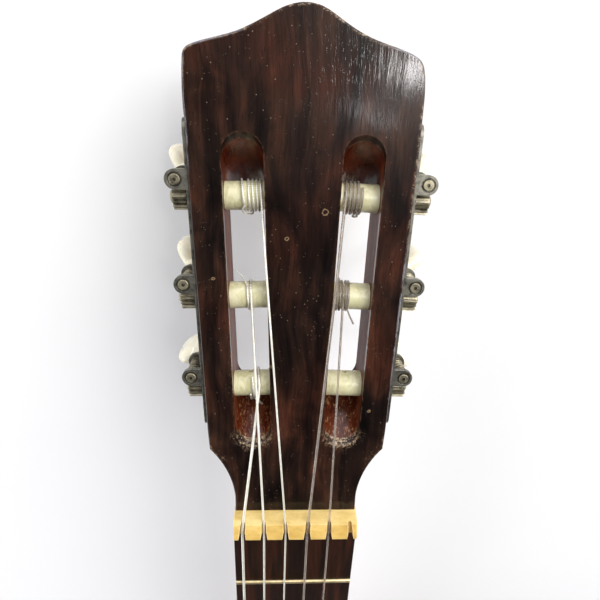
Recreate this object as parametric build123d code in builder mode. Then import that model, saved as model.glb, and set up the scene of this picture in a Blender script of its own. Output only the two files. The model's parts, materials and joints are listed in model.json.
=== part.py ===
from build123d import *
import os
from math import acos, atan2, cos, hypot, pi, radians, sin

# Classical guitar lying on its flat back. +X is the treble side, +Y runs from the tail to the tip of
# the head, +Z is up out of the soundboard. The origin is on the back, midway along the body.
# Everything is in millimetres.

# ---------------------------------------------------------------- driving dimensions
SCALE_LENGTH = 650.0
FRET_COUNT = 19

BODY_TOP_Y, BODY_TAIL_Y = 244.0, -244.0
BODY_DEPTH = 96.0
LOWER_BOUT_HALF, LOWER_BOUT_Y, LOWER_BOUT_R = 182.5, -125.0, 105.0
WAIST_HALF, WAIST_Y = 117.5, 45.0
UPPER_BOUT_HALF, UPPER_BOUT_Y, UPPER_BOUT_R = 140.0, 170.0, 62.0

SIDE_T, TOP_T, BACK_T = 2.2, 2.6, 2.8
BINDING_H = 5.0
LINING_W, LINING_H = 5.0, 14.0

HOLE_Y, HOLE_R = 88.0, 43.0
ROSETTE_IN, ROSETTE_OUT, ROSETTE_T = 46.0, 60.0, 1.0
BAR_W, BAR_H = 7.0, 16.0
STRUT_W, STRUT_H, STRUT_COUNT = 6.0, 5.0, 7

BOARD_T = 6.5
NUT_HALF_W, TWELFTH_HALF_W = 24.2, 28.6
NUT_T, NUT_H = 5.9, 10.7
BOARD_END_Y = 132.0

HEAD_ANGLE = 14.2
HEAD_T, VENEER_T = 20.9, 2.3
HEAD_LENGTH = 178.3
SIDE_START, SIDE_END = (33.3, 36.0), (36.5, 136.0)
SLOT_W = 13.4
SLOT_LOW, SLOT_HIGH = (16.5, 36.2), (19.35, 135.6)
SLOT_RAMP = 20.0

ROLLER_FIRST_Y, ROLLER_PITCH, ROLLER_Z = 51.2, 35.0, -8.86
ROLLER_R, ROLLER_INNER_X = 4.84, 5.2
SPINDLE_R = 2.0
RUN_GAP = 0.05
PLATE_T, PLATE_LOW_Y, PLATE_HIGH_Y = 1.2, 37.0, 146.0
PLATE_FRONT_Z, PLATE_BACK_Z = -1.8, -17.0
LUG_T, LUG_R, LUG_OUT = 1.6, 3.3, 4.74
WORM_AHEAD, WORM_SHAFT_R, WORM_CORE_R, WORM_TIP_R = 6.12, 1.8, 1.35, 2.15
GEAR_TEETH, GEAR_PITCH_R, GEAR_TIP_R, GEAR_ROOT_R = 15, 4.2, 4.6, 3.7
GEAR_T = 4.6
BUTTON_W, BUTTON_L, BUTTON_T, BUTTON_CORNER_R = 22.0, 20.0, 8.0, 7.0
BUTTON_NECK_R, BUTTON_NECK_L = 3.0, 6.3
SCREW_YS = (41.5, 70.5, 105.5, 141.0)
SCREW_R, SCREW_HEAD_R, SCREW_LENGTH = 1.4, 2.7, 9.0

SADDLE_T, SADDLE_TOP, SADDLE_HALF_W = 2.5, 108.75, 40.0
TIE_Z = 101.2
NUT_SPACING, NUT_FIRST_X = 8.4, -20.6
SADDLE_SPACING = 11.6
NUT_STRING_Z, NUT_LEVEL, SLOT_FLARE = 103.7, 3.0, 0.35

# String number: diameter, place across its roller, the stretch of the roller that its turns cover, and
# how far up the head it rests on the edge of its slot before it dips to the roller (None: it doesn't).
STRINGS = {
    6: (1.09, 14.2, 13.6, 17.4, 29.0),
    5: (0.86, 17.0, 16.5, 18.9, None),
    4: (0.74, 13.5, 13.1, 20.6, 106.0),
    3: (1.02, 14.2, 13.7, 20.4, 96.0),
    2: (0.82, 15.1, 12.4, 18.0, None),
}
# String number: side of the head (-1 is the bass side), and the roller counted from the nut.
ROLLERS = {6: (-1, 0), 5: (-1, 1), 4: (-1, 2), 3: (1, 2), 2: (1, 1), 1: (1, 0)}
# Degrees that each button happens to be turned to.
BUTTON_TURN = {6: 27, 5: -60, 4: -60, 3: 54, 2: 36, 1: -35}

# ---------------------------------------------------------------- what follows from them
NUT_FRONT_Y = BODY_TOP_Y + SCALE_LENGTH / 2
NUT_REAR_Y = NUT_FRONT_Y + NUT_T
SADDLE_Y = NUT_FRONT_Y - SCALE_LENGTH
BOARD_TOP = BODY_DEPTH + BOARD_T
TOP_UNDER = BODY_DEPTH - TOP_T
VENEER_TOP_AT_NUT = 97.6
BOARD_SLOPE = (TWELFTH_HALF_W - NUT_HALF_W) / (NUT_FRONT_Y - BODY_TOP_Y)
SIDE_LEAN = atan2(SIDE_END[0] - SIDE_START[0], SIDE_END[1] - SIDE_START[1])
WORM_LEAD = 2 * pi * GEAR_PITCH_R / GEAR_TEETH

# The head's own frame: x to the treble side, y up the face, z out of the face. Its origin is the
# middle of the nut's rear edge, on the veneer.
head = Plane(
    origin=(0, NUT_REAR_Y, VENEER_TOP_AT_NUT),
    x_dir=(1, 0, 0),
    z_dir=(0, sin(radians(HEAD_ANGLE)), cos(radians(HEAD_ANGLE))),
)


def board_half_width(y):
    return NUT_HALF_W + BOARD_SLOPE * (NUT_FRONT_Y - y)


def fret_y(number):
    return NUT_FRONT_Y - SCALE_LENGTH * (1 - 2 ** (-number / 12))


# ---------------------------------------------------------------- the body's plan outline
def end_radius(bout_half, bout_r, reach):
    """Radius of an end arc on the centre line that runs smoothly into a bout arc."""
    across = bout_half - bout_r
    return (across**2 + reach**2 - bout_r**2) / (2 * (reach - bout_r))


def waist_radius(bout_half, bout_r, reach):
    """Radius of a waist arc that runs smoothly into a bout arc `reach` along the body from it."""
    step = bout_half - WAIST_HALF
    return (step**2 + reach**2) / (2 * step) - bout_r


TAIL_R = end_radius(LOWER_BOUT_HALF, LOWER_BOUT_R, LOWER_BOUT_Y - BODY_TAIL_Y)
SHOULDER_R = end_radius(UPPER_BOUT_HALF, UPPER_BOUT_R, BODY_TOP_Y - UPPER_BOUT_Y)
LOWER_WAIST_R = waist_radius(LOWER_BOUT_HALF, LOWER_BOUT_R, WAIST_Y - LOWER_BOUT_Y)
UPPER_WAIST_R = waist_radius(UPPER_BOUT_HALF, UPPER_BOUT_R, UPPER_BOUT_Y - WAIST_Y)


def body_face(inset=0.0):
    """The body's plan, drawn `inset` inside its outer edge."""
    tail = Vector(0, BODY_TAIL_Y + TAIL_R)
    lower = Vector(LOWER_BOUT_HALF - LOWER_BOUT_R, LOWER_BOUT_Y)
    waist_low = Vector(WAIST_HALF + LOWER_WAIST_R, WAIST_Y)
    waist_high = Vector(WAIST_HALF + UPPER_WAIST_R, WAIST_Y)
    upper = Vector(UPPER_BOUT_HALF - UPPER_BOUT_R, UPPER_BOUT_Y)
    shoulder = Vector(0, BODY_TOP_Y - SHOULDER_R)
    joins = [
        Vector(0, BODY_TAIL_Y + inset),
        tail + (lower - tail).normalized() * (TAIL_R - inset),
        lower + (waist_low - lower).normalized() * (LOWER_BOUT_R - inset),
        Vector(WAIST_HALF - inset, WAIST_Y),
        upper + (waist_high - upper).normalized() * (UPPER_BOUT_R - inset),
        shoulder + (upper - shoulder).normalized() * (SHOULDER_R - inset),
        Vector(0, BODY_TOP_Y - inset),
    ]
    centres = [tail, lower, waist_low, waist_high, upper, shoulder]
    with BuildSketch() as plan:
        with BuildLine():
            for centre, start, end in zip(centres, joins, joins[1:]):
                middle = (start - centre) + (end - centre)
                ThreePointArc(start, centre + middle.normalized() * (start - centre).length, end)
            mirror(about=Plane.YZ)
        make_face()
    return plan.sketch


def body_slab(z_low, z_high, inset=0.0, hollow=None):
    """A slab of the body's plan; `hollow` is the inset of the opening inside it."""
    with BuildPart() as slab:
        with BuildSketch(Plane.XY.offset(z_low)):
            add(body_face(inset))
        extrude(amount=z_high - z_low)
        if hollow is not None:
            with BuildSketch(Plane.XY.offset(z_low)):
                add(body_face(hollow))
            extrude(amount=z_high - z_low, mode=Mode.SUBTRACT)
    return slab.part


# ---------------------------------------------------------------- body
rims = body_slab(BINDING_H, BODY_DEPTH - BINDING_H, 0, SIDE_T)

with BuildPart() as treble_side:
    add(rims)
    split(bisect_by=Plane.YZ, keep=Keep.TOP)

with BuildPart() as bass_side:
    add(rims)
    split(bisect_by=Plane.YZ, keep=Keep.BOTTOM)

with BuildPart() as bindings:
    add(body_slab(0, BINDING_H, 0, SIDE_T))
    add(body_slab(BODY_DEPTH - BINDING_H, BODY_DEPTH, 0, SIDE_T))

with BuildPart() as back_plate:
    add(body_slab(0, BACK_T, SIDE_T))

with BuildPart() as soundboard:
    add(body_slab(TOP_UNDER, BODY_DEPTH, SIDE_T))
    with BuildSketch(Plane.XY.offset(TOP_UNDER)):
        with Locations((0, HOLE_Y)):
            Circle(HOLE_R)
    extrude(amount=TOP_T, mode=Mode.SUBTRACT)
    with BuildSketch(Plane.XY.offset(BODY_DEPTH - ROSETTE_T)):
        with Locations((0, HOLE_Y)):
            Circle(ROSETTE_OUT)
            Circle(ROSETTE_IN, mode=Mode.SUBTRACT)
    extrude(amount=ROSETTE_T, mode=Mode.SUBTRACT)

with BuildPart() as rosette:
    with BuildSketch(Plane.XY.offset(BODY_DEPTH - ROSETTE_T)):
        with Locations((0, HOLE_Y)):
            Circle(ROSETTE_OUT)
            Circle(ROSETTE_IN, mode=Mode.SUBTRACT)
    extrude(amount=ROSETTE_T)

with BuildPart() as soundhole_doubler:
    with BuildSketch(Plane.XY.offset(TOP_UNDER - 2)):
        with Locations((0, HOLE_Y)):
            Circle(HOLE_R + 7)
            Circle(HOLE_R + 0.5, mode=Mode.SUBTRACT)
    extrude(amount=2)

# Blocks at the two ends of the box, shaped to the inside of the sides.
TAIL_BLOCK_HALF, TAIL_BLOCK_T = 40.0, 14.0
HEEL_BLOCK_HALF, HEEL_BLOCK_T = 36.0, 26.0
inner_space = body_slab(BACK_T, TOP_UNDER, SIDE_T)

with BuildPart() as tail_block:
    add(inner_space)
    with Locations((0, BODY_TAIL_Y, BODY_DEPTH / 2)):
        Box(2 * TAIL_BLOCK_HALF, 2 * (TAIL_BLOCK_T + SIDE_T), BODY_DEPTH, mode=Mode.INTERSECT)

with BuildPart() as heel_block:
    add(inner_space)
    with Locations((0, BODY_TOP_Y, BODY_DEPTH / 2)):
        Box(2 * HEEL_BLOCK_HALF, 2 * (HEEL_BLOCK_T + SIDE_T), BODY_DEPTH, mode=Mode.INTERSECT)

with BuildPart() as linings:
    add(body_slab(BACK_T, BACK_T + LINING_H, SIDE_T, SIDE_T + LINING_W))
    add(body_slab(TOP_UNDER - LINING_H, TOP_UNDER, SIDE_T, SIDE_T + LINING_W))
    with Locations((0, BODY_TAIL_Y, BODY_DEPTH / 2)):
        Box(2 * TAIL_BLOCK_HALF, 2 * (TAIL_BLOCK_T + SIDE_T), BODY_DEPTH, mode=Mode.SUBTRACT)
    with Locations((0, BODY_TOP_Y, BODY_DEPTH / 2)):
        Box(2 * HEEL_BLOCK_HALF, 2 * (HEEL_BLOCK_T + SIDE_T), BODY_DEPTH, mode=Mode.SUBTRACT)

HARMONIC_YS = (34.0, 142.0)
brace_space = body_slab(BACK_T, TOP_UNDER, SIDE_T + LINING_W)

with BuildPart() as harmonic_bars:
    for bar_y in HARMONIC_YS:
        with Locations((0, bar_y, TOP_UNDER - BAR_H / 2)):
            Box(2 * LOWER_BOUT_HALF, BAR_W, BAR_H)
    add(brace_space, mode=Mode.INTERSECT)

STRUT_TOP_Y, STRUT_END_Y = 27.0, -178.0
STRUT_TOP_STEP, STRUT_END_STEP = 12.0, 28.0

with BuildPart() as fan_struts:
    for place in range(STRUT_COUNT):
        number = place - STRUT_COUNT // 2
        top_x, end_x = number * STRUT_TOP_STEP, number * STRUT_END_STEP
        middle = ((top_x + end_x) / 2, (STRUT_TOP_Y + STRUT_END_Y) / 2, TOP_UNDER - STRUT_H / 2)
        length = hypot(end_x - top_x, STRUT_TOP_Y - STRUT_END_Y) - STRUT_W
        lean = atan2(end_x - top_x, STRUT_TOP_Y - STRUT_END_Y) * 180 / pi
        with Locations(Location(middle, (0, 0, lean))):
            Box(STRUT_W, length, STRUT_H)
    for side in (-1, 1):
        with Locations(Location((side * 52, -207, TOP_UNDER - STRUT_H / 2), (0, 0, side * 20))):
            Box(84, STRUT_W, STRUT_H)

BACK_BRACE_YS = (-130.0, 10.0, 150.0)
BACK_BRACE_H = 12.0

with BuildPart() as back_braces:
    for brace_y in BACK_BRACE_YS:
        with Locations((0, brace_y, BACK_T + BACK_BRACE_H / 2)):
            Box(2 * LOWER_BOUT_HALF, BAR_W, BACK_BRACE_H)
    add(brace_space, mode=Mode.INTERSECT)

# Cross-grain strip along the back's centre joint, stopped at each brace.
STRIP_W, STRIP_T = 20.0, 1.5
strip_ends = [BODY_TAIL_Y + SIDE_T + TAIL_BLOCK_T]
for brace_y in BACK_BRACE_YS:
    strip_ends += [brace_y - BAR_W / 2, brace_y + BAR_W / 2]
strip_ends.append(BODY_TOP_Y - SIDE_T - HEEL_BLOCK_T)

with BuildPart() as back_strip:
    for low, high in zip(strip_ends[::2], strip_ends[1::2]):
        with Locations((0, (low + high) / 2, BACK_T + STRIP_T / 2)):
            Box(STRIP_W, high - low, STRIP_T)

# ---------------------------------------------------------------- bridge and saddle
BRIDGE_FRONT_Y, TIE_FRONT_Y, TIE_BACK_Y = -74.0, -90.5, -102.5
BRIDGE_CENTRE_HALF, BRIDGE_HALF = 41.0, 95.0
WING_H, TIE_TOP, SLOT_FLOOR = 4.2, 105.0, 99.5
SADDLE_MID_Y = SADDLE_Y - 0.5
TIE_HOLE_R = 0.9


def string_x(number, first, spacing):
    return first + spacing * (6 - number)


SADDLE_FIRST_X = -2.5 * SADDLE_SPACING

with BuildPart() as bridge:
    with BuildSketch(Plane.YZ):
        Polygon(
            (BRIDGE_FRONT_Y, BODY_DEPTH),
            (BRIDGE_FRONT_Y, 101),
            (BRIDGE_FRONT_Y - 3, 103.5),
            (TIE_FRONT_Y + 5, 103.5),
            (TIE_FRONT_Y + 4, SLOT_FLOOR),
            (TIE_FRONT_Y, SLOT_FLOOR),
            (TIE_FRONT_Y, TIE_TOP),
            (TIE_BACK_Y, TIE_TOP),
            (TIE_BACK_Y, BODY_DEPTH),
            align=None,
        )
    extrude(amount=BRIDGE_CENTRE_HALF, both=True)
    with BuildSketch(Plane.YZ):
        with BuildLine():
            wing_front = (BRIDGE_FRONT_Y, BODY_DEPTH + 1.6)
            wing_back = (TIE_BACK_Y, BODY_DEPTH + 1.6)
            wing_crown = ((BRIDGE_FRONT_Y + TIE_BACK_Y) / 2, BODY_DEPTH + WING_H)
            Polyline(wing_back, (TIE_BACK_Y, BODY_DEPTH), (BRIDGE_FRONT_Y, BODY_DEPTH), wing_front)
            ThreePointArc(wing_front, wing_crown, wing_back)
        make_face()
    extrude(amount=BRIDGE_HALF, both=True)
    fillet(bridge.edges().filter_by(Axis.Z).group_by(SortBy.DISTANCE)[-1], radius=1.2)
    with Locations((0, SADDLE_MID_Y, SLOT_FLOOR + 10)):
        Box(2 * SADDLE_HALF_W, SADDLE_T, 20, mode=Mode.SUBTRACT)
    with BuildSketch(Plane.XZ.offset(-TIE_FRONT_Y)):
        for number in range(1, 7):
            with Locations((string_x(number, SADDLE_FIRST_X, SADDLE_SPACING), TIE_Z)):
                Circle(TIE_HOLE_R)
    extrude(amount=TIE_FRONT_Y - TIE_BACK_Y, mode=Mode.SUBTRACT)

with BuildPart() as saddle:
    with Locations((0, SADDLE_MID_Y, (SLOT_FLOOR + SADDLE_TOP) / 2)):
        Box(2 * SADDLE_HALF_W, SADDLE_T, SADDLE_TOP - SLOT_FLOOR)
    fillet(saddle.edges().filter_by(Axis.X).group_by(Axis.Z)[-1], radius=1.1)

# ---------------------------------------------------------------- fretboard, frets and nut
FRET_W, FRET_H, TANG_W, TANG_H = 2.0, 1.0, 0.5, 1.8

with BuildPart() as fretboard:
    with BuildSketch(Plane.XY.offset(BODY_DEPTH)):
        end_half = board_half_width(BOARD_END_Y)
        Polygon(
            (-NUT_HALF_W, NUT_FRONT_Y),
            (NUT_HALF_W, NUT_FRONT_Y),
            (end_half, BOARD_END_Y),
            (-end_half, BOARD_END_Y),
            align=None,
        )
    extrude(amount=BOARD_T)
    for number in range(1, FRET_COUNT + 1):
        with Locations((0, fret_y(number), BOARD_TOP - TANG_H / 2)):
            Box(80, TANG_W, TANG_H, mode=Mode.SUBTRACT)

with BuildPart() as frets:
    for number in range(1, FRET_COUNT + 1):
        y = fret_y(number)
        with BuildSketch(Plane.YZ):
            with BuildLine():
                Polyline(
                    (y - FRET_W / 2, BOARD_TOP),
                    (y - TANG_W / 2, BOARD_TOP),
                    (y - TANG_W / 2, BOARD_TOP - TANG_H),
                    (y + TANG_W / 2, BOARD_TOP - TANG_H),
                    (y + TANG_W / 2, BOARD_TOP),
                    (y + FRET_W / 2, BOARD_TOP),
                )
                ThreePointArc(
                    (y + FRET_W / 2, BOARD_TOP), (y, BOARD_TOP + FRET_H), (y - FRET_W / 2, BOARD_TOP)
                )
            make_face()
        extrude(amount=board_half_width(y) - 0.2, both=True)


def string_bend(number, diameter):
    """The middle of the string where it bends over the nut."""
    across = string_x(number, NUT_FIRST_X, NUT_SPACING)
    return Vector(across, NUT_FRONT_Y + NUT_LEVEL, NUT_STRING_Z + diameter / 2)


def head_route(number):
    """The string's points past the nut, in the head's frame: its rest on the slot's edge, if it has
    one, and the point where it meets its roller."""
    diameter, across, _, _, rest_y = STRINGS[number]
    side, place = ROLLERS[number]
    start = head.to_local_coords(string_bend(number, diameter))
    centre_y = ROLLER_FIRST_Y + ROLLER_PITCH * place
    end_x = side * across
    route = []
    if rest_y is not None:
        share = (rest_y - start.Y) / (centre_y - start.Y)
        start = Vector(start.X + share * (end_x - start.X), rest_y, diameter / 2 + 0.12)
        route.append(start)
    reach = ROLLER_R + diameter / 2
    back_y, back_z = start.Y - centre_y, start.Z - ROLLER_Z
    angle = atan2(back_z, back_y) - acos(reach / hypot(back_y, back_z))
    route.append(Vector(end_x, centre_y + reach * cos(angle), ROLLER_Z + reach * sin(angle)))
    return route


def nut_slot(number):
    """A cutter for one string slot in the nut, along the string's way to its roller."""
    diameter = STRINGS[number][0] if number in STRINGS else 0.71
    bend = string_bend(number, diameter)
    target = head_route(number)[0] if number in STRINGS else Vector(15, ROLLER_FIRST_Y, -4)
    target = head.from_local_coords(target)
    way = (target - bend).normalized()
    front = Plane(origin=bend, x_dir=(1, 0, 0), z_dir=(0, 1, 0))
    floor = diameter / 2 + 0.03
    half = diameter / 2 + 0.2
    with BuildPart() as cutter:
        with BuildSketch(Plane(origin=bend - way * 0.8, x_dir=(way.Y, -way.X, 0), z_dir=way)):
            with BuildLine():
                Polyline((-half, floor), (half, floor), (half + 1.1, -6), (-half - 1.1, -6), close=True)
            make_face()
        extrude(amount=12)
        for back, open_by in ((0, 0), (-NUT_LEVEL - 1, SLOT_FLARE)):
            wide = half + open_by
            with BuildSketch(front.offset(back)):
                with BuildLine():
                    Polyline((-wide, floor), (wide, floor), (wide + 0.9, -5), (-wide - 0.9, -5), close=True)
                make_face()
        loft(ruled=True)
    return cutter.part


with BuildPart() as nut:
    with BuildSketch(Plane.YZ):
        with BuildLine():
            nut_top = BODY_DEPTH + NUT_H
            Polyline(
                (NUT_REAR_Y, BODY_DEPTH),
                (NUT_FRONT_Y, BODY_DEPTH),
                (NUT_FRONT_Y, nut_top - 0.3),
                (NUT_FRONT_Y + 0.3, nut_top),
                (NUT_FRONT_Y + 1.5, nut_top),
                (NUT_REAR_Y, nut_top - 2.6),
                close=True,
            )
        make_face()
    extrude(amount=NUT_HALF_W - 0.2, both=True)
    fillet(nut.faces().filter_by(Axis.X).edges().filter_by(lambda edge: edge.center().Z > nut_top - 2),
           radius=0.6)
    for number in range(1, 7):
        add(nut_slot(number), mode=Mode.SUBTRACT)

# ---------------------------------------------------------------- neck
def neck_section(y, half, depth, fullness):
    """A D-shaped section of the neck's shaft; fullness goes from 0.5, round, towards 1, square."""
    with BuildSketch(Plane(origin=(0, y, BODY_DEPTH), x_dir=(1, 0, 0), z_dir=(0, 1, 0))) as section:
        with BuildLine():
            Line((-half, 0), (half, 0))
            Bezier((half, 0), (half, fullness * depth), (fullness * half, depth), (0, depth))
            mirror(about=Plane.YZ)
        make_face()
    return section.sketch


def heel_section(z, half, tip_y):
    """A level section of the heel, a rounded shield from the body's end out to tip_y."""
    root_y = BODY_TOP_Y - 8
    reach = tip_y - root_y
    with BuildSketch(Plane.XY.offset(z)) as section:
        with BuildLine():
            Line((-half, root_y), (half, root_y))
            Bezier((half, root_y), (half, root_y + 0.75 * reach), (0.62 * half, tip_y), (0, tip_y))
            mirror(about=Plane.YZ)
        make_face()
    return section.sketch


HEEL_CAP_T, HEEL_CAP_HALF, HEEL_CAP_Y = 3.0, 14.5, 256.0
body_block = body_slab(-1, BODY_DEPTH, 0)

with BuildPart() as heel:
    loft([
        heel_section(HEEL_CAP_T, HEEL_CAP_HALF, HEEL_CAP_Y),
        heel_section(22, 15.6, 257.5),
        heel_section(46, 19.5, 262),
        heel_section(66, 24, 271),
        heel_section(80, 27.2, 284),
        heel_section(90, 28.2, 300),
    ])

with BuildPart() as neck:
    loft([
        neck_section(BODY_TOP_Y - 8, board_half_width(BODY_TOP_Y - 8), 19.5, 0.62),
        neck_section(548, board_half_width(548), 16.5, 0.62),
    ])
    loft([
        neck_section(548, board_half_width(548), 16.5, 0.62),
        neck_section(562, board_half_width(562), 17.2, 0.72),
        neck_section(NUT_REAR_Y, NUT_HALF_W - 0.4, BODY_DEPTH - 76.6, 0.94),
    ])
    add(heel.part)
    add(body_block, mode=Mode.SUBTRACT)

with BuildPart() as heel_cap:
    with BuildSketch(Plane.XY):
        add(heel_section(0, HEEL_CAP_HALF, HEEL_CAP_Y))
    extrude(amount=HEEL_CAP_T)
    add(body_block, mode=Mode.SUBTRACT)

# ---------------------------------------------------------------- head
SIDE_RISE = (SIDE_END[0] - SIDE_START[0]) / (SIDE_END[1] - SIDE_START[1])


def head_face():
    """The head's outline, on its face. Its crown isn't quite the same on both sides."""
    foot, flare_mid, cheek = (23.65, 6.5), (26.9, 19.0), (32.8, 28.0)
    with BuildSketch() as outline:
        with BuildLine():
            Line((23.6, -4), foot)
            ThreePointArc(foot, flare_mid, cheek)
            Line(cheek, SIDE_START)
            Line(SIDE_START, SIDE_END)
            mirror(about=Plane.YZ)
            Line((23.6, -4), (-23.6, -4))
            Spline(
                SIDE_END, (36.65, 149), (36.25, 159.5), (34.8, 163.7), (31, 166), (20, 169.4), (10.3, 174.3),
                (5, 177.3), (-0.4, HEAD_LENGTH), (-6.2, 177.1), (-11.9, 174.3), (-21.3, 169.9),
                (-33, 166.6), (-35.9, 164.9), (-36.75, 161.5), (-36.95, 149), (-SIDE_END[0], SIDE_END[1]),
                tangents=((SIDE_RISE, 1), (-SIDE_RISE, -1)),
            )
        make_face()
    return outline.sketch


def slot_face(side, trim):
    """One string slot's outline, in the head's plane, with `trim` taken off each end."""
    low, high = Vector(side * SLOT_LOW[0], SLOT_LOW[1]), Vector(side * SLOT_HIGH[0], SLOT_HIGH[1])
    along = (high - low).normalized()
    lean = atan2(along.Y, along.X) * 180 / pi
    with BuildSketch() as slot:
        with Locations((low + high) / 2):
            SlotCenterToCenter((high - low).length - 2 * trim, SLOT_W, rotation=lean)
    return slot.sketch


def side_x(y):
    """Half the head's width at y, between the ends of its straight sides."""
    return SIDE_START[0] + SIDE_RISE * (y - SIDE_START[1])


def tuner_frame(side, y):
    """The frame of a tuner: its origin is on the head's side, level with the rollers; z is out of the
    face, y along the side towards the tip, and x square to the side, so that `side` times x points out."""
    lean = side * SIDE_LEAN
    return Plane(
        origin=head.from_local_coords(Vector(side * side_x(y), y, ROLLER_Z)),
        x_dir=head.x_dir * cos(lean) - head.y_dir * sin(lean),
        z_dir=head.z_dir,
    )


def across_from(frame, x, y=0.0, z=0.0):
    """A sketch plane facing along the frame's x: sketch x runs along the side, sketch y out of the face."""
    return Plane(
        origin=frame.from_local_coords(Vector(x, y, z)), x_dir=frame.y_dir, z_dir=frame.x_dir
    )


def facing_up_the_head(frame, x):
    """A sketch plane across the frame's x and z, facing along the head, at a point of a roller's axis."""
    return Plane(origin=frame.from_local_coords(Vector(x, 0, 0)), x_dir=frame.x_dir, z_dir=frame.y_dir)


def facing_out(frame, x, y, z):
    """A sketch plane facing out of the head's face, at a point of the frame."""
    return Plane(origin=frame.from_local_coords(Vector(x, y, z)), x_dir=frame.x_dir, z_dir=frame.z_dir)


HEAD_END = Plane(origin=(0, NUT_REAR_Y, 0), x_dir=(1, 0, 0), z_dir=(0, 1, 0))
ROLLER_BORE_R = ROLLER_R + RUN_GAP

# The slots' ends are scooped into ramps, so each slot is longest at the face.
RAMP_RUN = SLOT_RAMP / (HEAD_T + 1)
with BuildPart() as slot_cutter:
    for side in (-1, 1):
        with BuildSketch(head.offset(1)):
            add(slot_face(side, -RAMP_RUN))
        with BuildSketch(head.offset(-HEAD_T - 1)):
            add(slot_face(side, SLOT_RAMP))
        loft(ruled=True)

with BuildPart() as headstock:
    with BuildSketch(head.offset(-VENEER_T)):
        add(head_face())
    extrude(amount=VENEER_T - HEAD_T)
    split(bisect_by=HEAD_END, keep=Keep.TOP)
    fillet(headstock.faces().sort_by(Axis(head.origin, -head.z_dir))[-1].outer_wire().edges()
           .filter_by(lambda edge: edge.center().Y > NUT_REAR_Y + 12), radius=1)
    add(slot_cutter.part, mode=Mode.SUBTRACT)
    for side, place in ROLLERS.values():
        frame = tuner_frame(side, ROLLER_FIRST_Y + ROLLER_PITCH * place)
        depth = side_x(ROLLER_FIRST_Y + ROLLER_PITCH * place) - ROLLER_INNER_X + 0.3
        with BuildSketch(across_from(frame, 0)):
            Circle(ROLLER_BORE_R)
        extrude(amount=-side * depth, mode=Mode.SUBTRACT)
    for side in (-1, 1):
        for screw_y in SCREW_YS:
            with BuildSketch(across_from(tuner_frame(side, screw_y), 0)):
                Circle(SCREW_R)
            extrude(amount=-side * SCREW_LENGTH, mode=Mode.SUBTRACT)

with BuildPart() as head_veneer:
    with BuildSketch(head.offset(-VENEER_T)):
        add(head_face())
    extrude(amount=VENEER_T)
    split(bisect_by=HEAD_END, keep=Keep.TOP)
    add(slot_cutter.part, mode=Mode.SUBTRACT)
    fillet(head_veneer.faces().sort_by(Axis(head.origin, head.z_dir))[-1].outer_wire().edges()
           .filter_by(lambda edge: edge.center().Y > NUT_REAR_Y + 4), radius=0.5)

# ---------------------------------------------------------------- tuners
PLATE_MID_Z = (PLATE_FRONT_Z + PLATE_BACK_Z) / 2 - ROLLER_Z
PLATE_FRONT, PLATE_BACK = PLATE_FRONT_Z - ROLLER_Z, PLATE_BACK_Z - ROLLER_Z
GEAR_IN = LUG_OUT - 0.4 - GEAR_T / 2
WORM_LOW, WORM_HIGH = PLATE_BACK + LUG_T + 0.1, PLATE_FRONT - LUG_T - 0.1


def make_plate(side):
    """A side plate with a front and a back lug for each worm."""
    middle_y = ROLLER_FIRST_Y + ROLLER_PITCH
    middle = tuner_frame(side, middle_y)
    with BuildPart() as plate:
        length = (PLATE_HIGH_Y - PLATE_LOW_Y) / cos(SIDE_LEAN)
        centre = ((PLATE_HIGH_Y + PLATE_LOW_Y) / 2 - middle_y) / cos(SIDE_LEAN)
        with BuildSketch(across_from(middle, 0)):
            with Locations((centre, PLATE_MID_Z)):
                RectangleRounded(length, PLATE_FRONT - PLATE_BACK, 3.5)
        extrude(amount=side * PLATE_T)
        for place in range(3):
            frame = tuner_frame(side, ROLLER_FIRST_Y + ROLLER_PITCH * place)
            for lug_z in (PLATE_BACK, PLATE_FRONT - LUG_T):
                with BuildSketch(facing_out(frame, 0, WORM_AHEAD, lug_z)):
                    with Locations((side * LUG_OUT / 2 + side * 0.3, 0)):
                        Rectangle(LUG_OUT - 0.6, 2 * LUG_R)
                    with Locations((side * LUG_OUT, 0)):
                        Circle(LUG_R)
                extrude(amount=LUG_T)
            for lug_z in (PLATE_BACK, PLATE_FRONT - LUG_T):
                with BuildSketch(facing_out(frame, side * LUG_OUT, WORM_AHEAD, lug_z)):
                    Circle(WORM_SHAFT_R + RUN_GAP)
                extrude(amount=LUG_T, mode=Mode.SUBTRACT)
            with BuildSketch(facing_out(frame, side * LUG_OUT, WORM_AHEAD, PLATE_FRONT)):
                Circle(WORM_SHAFT_R + 0.6)
            extrude(amount=-0.35, mode=Mode.SUBTRACT)
            with BuildSketch(across_from(frame, 0)):
                Circle(SPINDLE_R + RUN_GAP)
            extrude(amount=side * PLATE_T, mode=Mode.SUBTRACT)
        for screw_y in SCREW_YS:
            with BuildSketch(across_from(tuner_frame(side, screw_y), 0)):
                Circle(SCREW_R + 0.1)
            extrude(amount=side * PLATE_T, mode=Mode.SUBTRACT)
    return plate.part


with BuildPart() as tuner_plate_bass:
    add(make_plate(-1))

with BuildPart() as tuner_plate_treble:
    add(make_plate(1))

with BuildPart() as screw_blank:
    with BuildSketch(Plane.XZ):
        with BuildLine():
            Polyline(
                (0, PLATE_T), (0, -SCREW_LENGTH + 0.2), (0.4, -SCREW_LENGTH + 0.2),
                (SCREW_R, -SCREW_LENGTH + 3), (SCREW_R, PLATE_T), (SCREW_HEAD_R, PLATE_T),
            )
            ThreePointArc((SCREW_HEAD_R, PLATE_T), (1.7, PLATE_T + 0.95), (0, PLATE_T + 1.3))
            Line((0, PLATE_T + 1.3), (0, PLATE_T))
        make_face()
    revolve(axis=Axis.Z)
    with Locations((0, 0, PLATE_T + 1.3)):
        Box(2 * SCREW_HEAD_R, 0.6, 1.2, mode=Mode.SUBTRACT)

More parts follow.
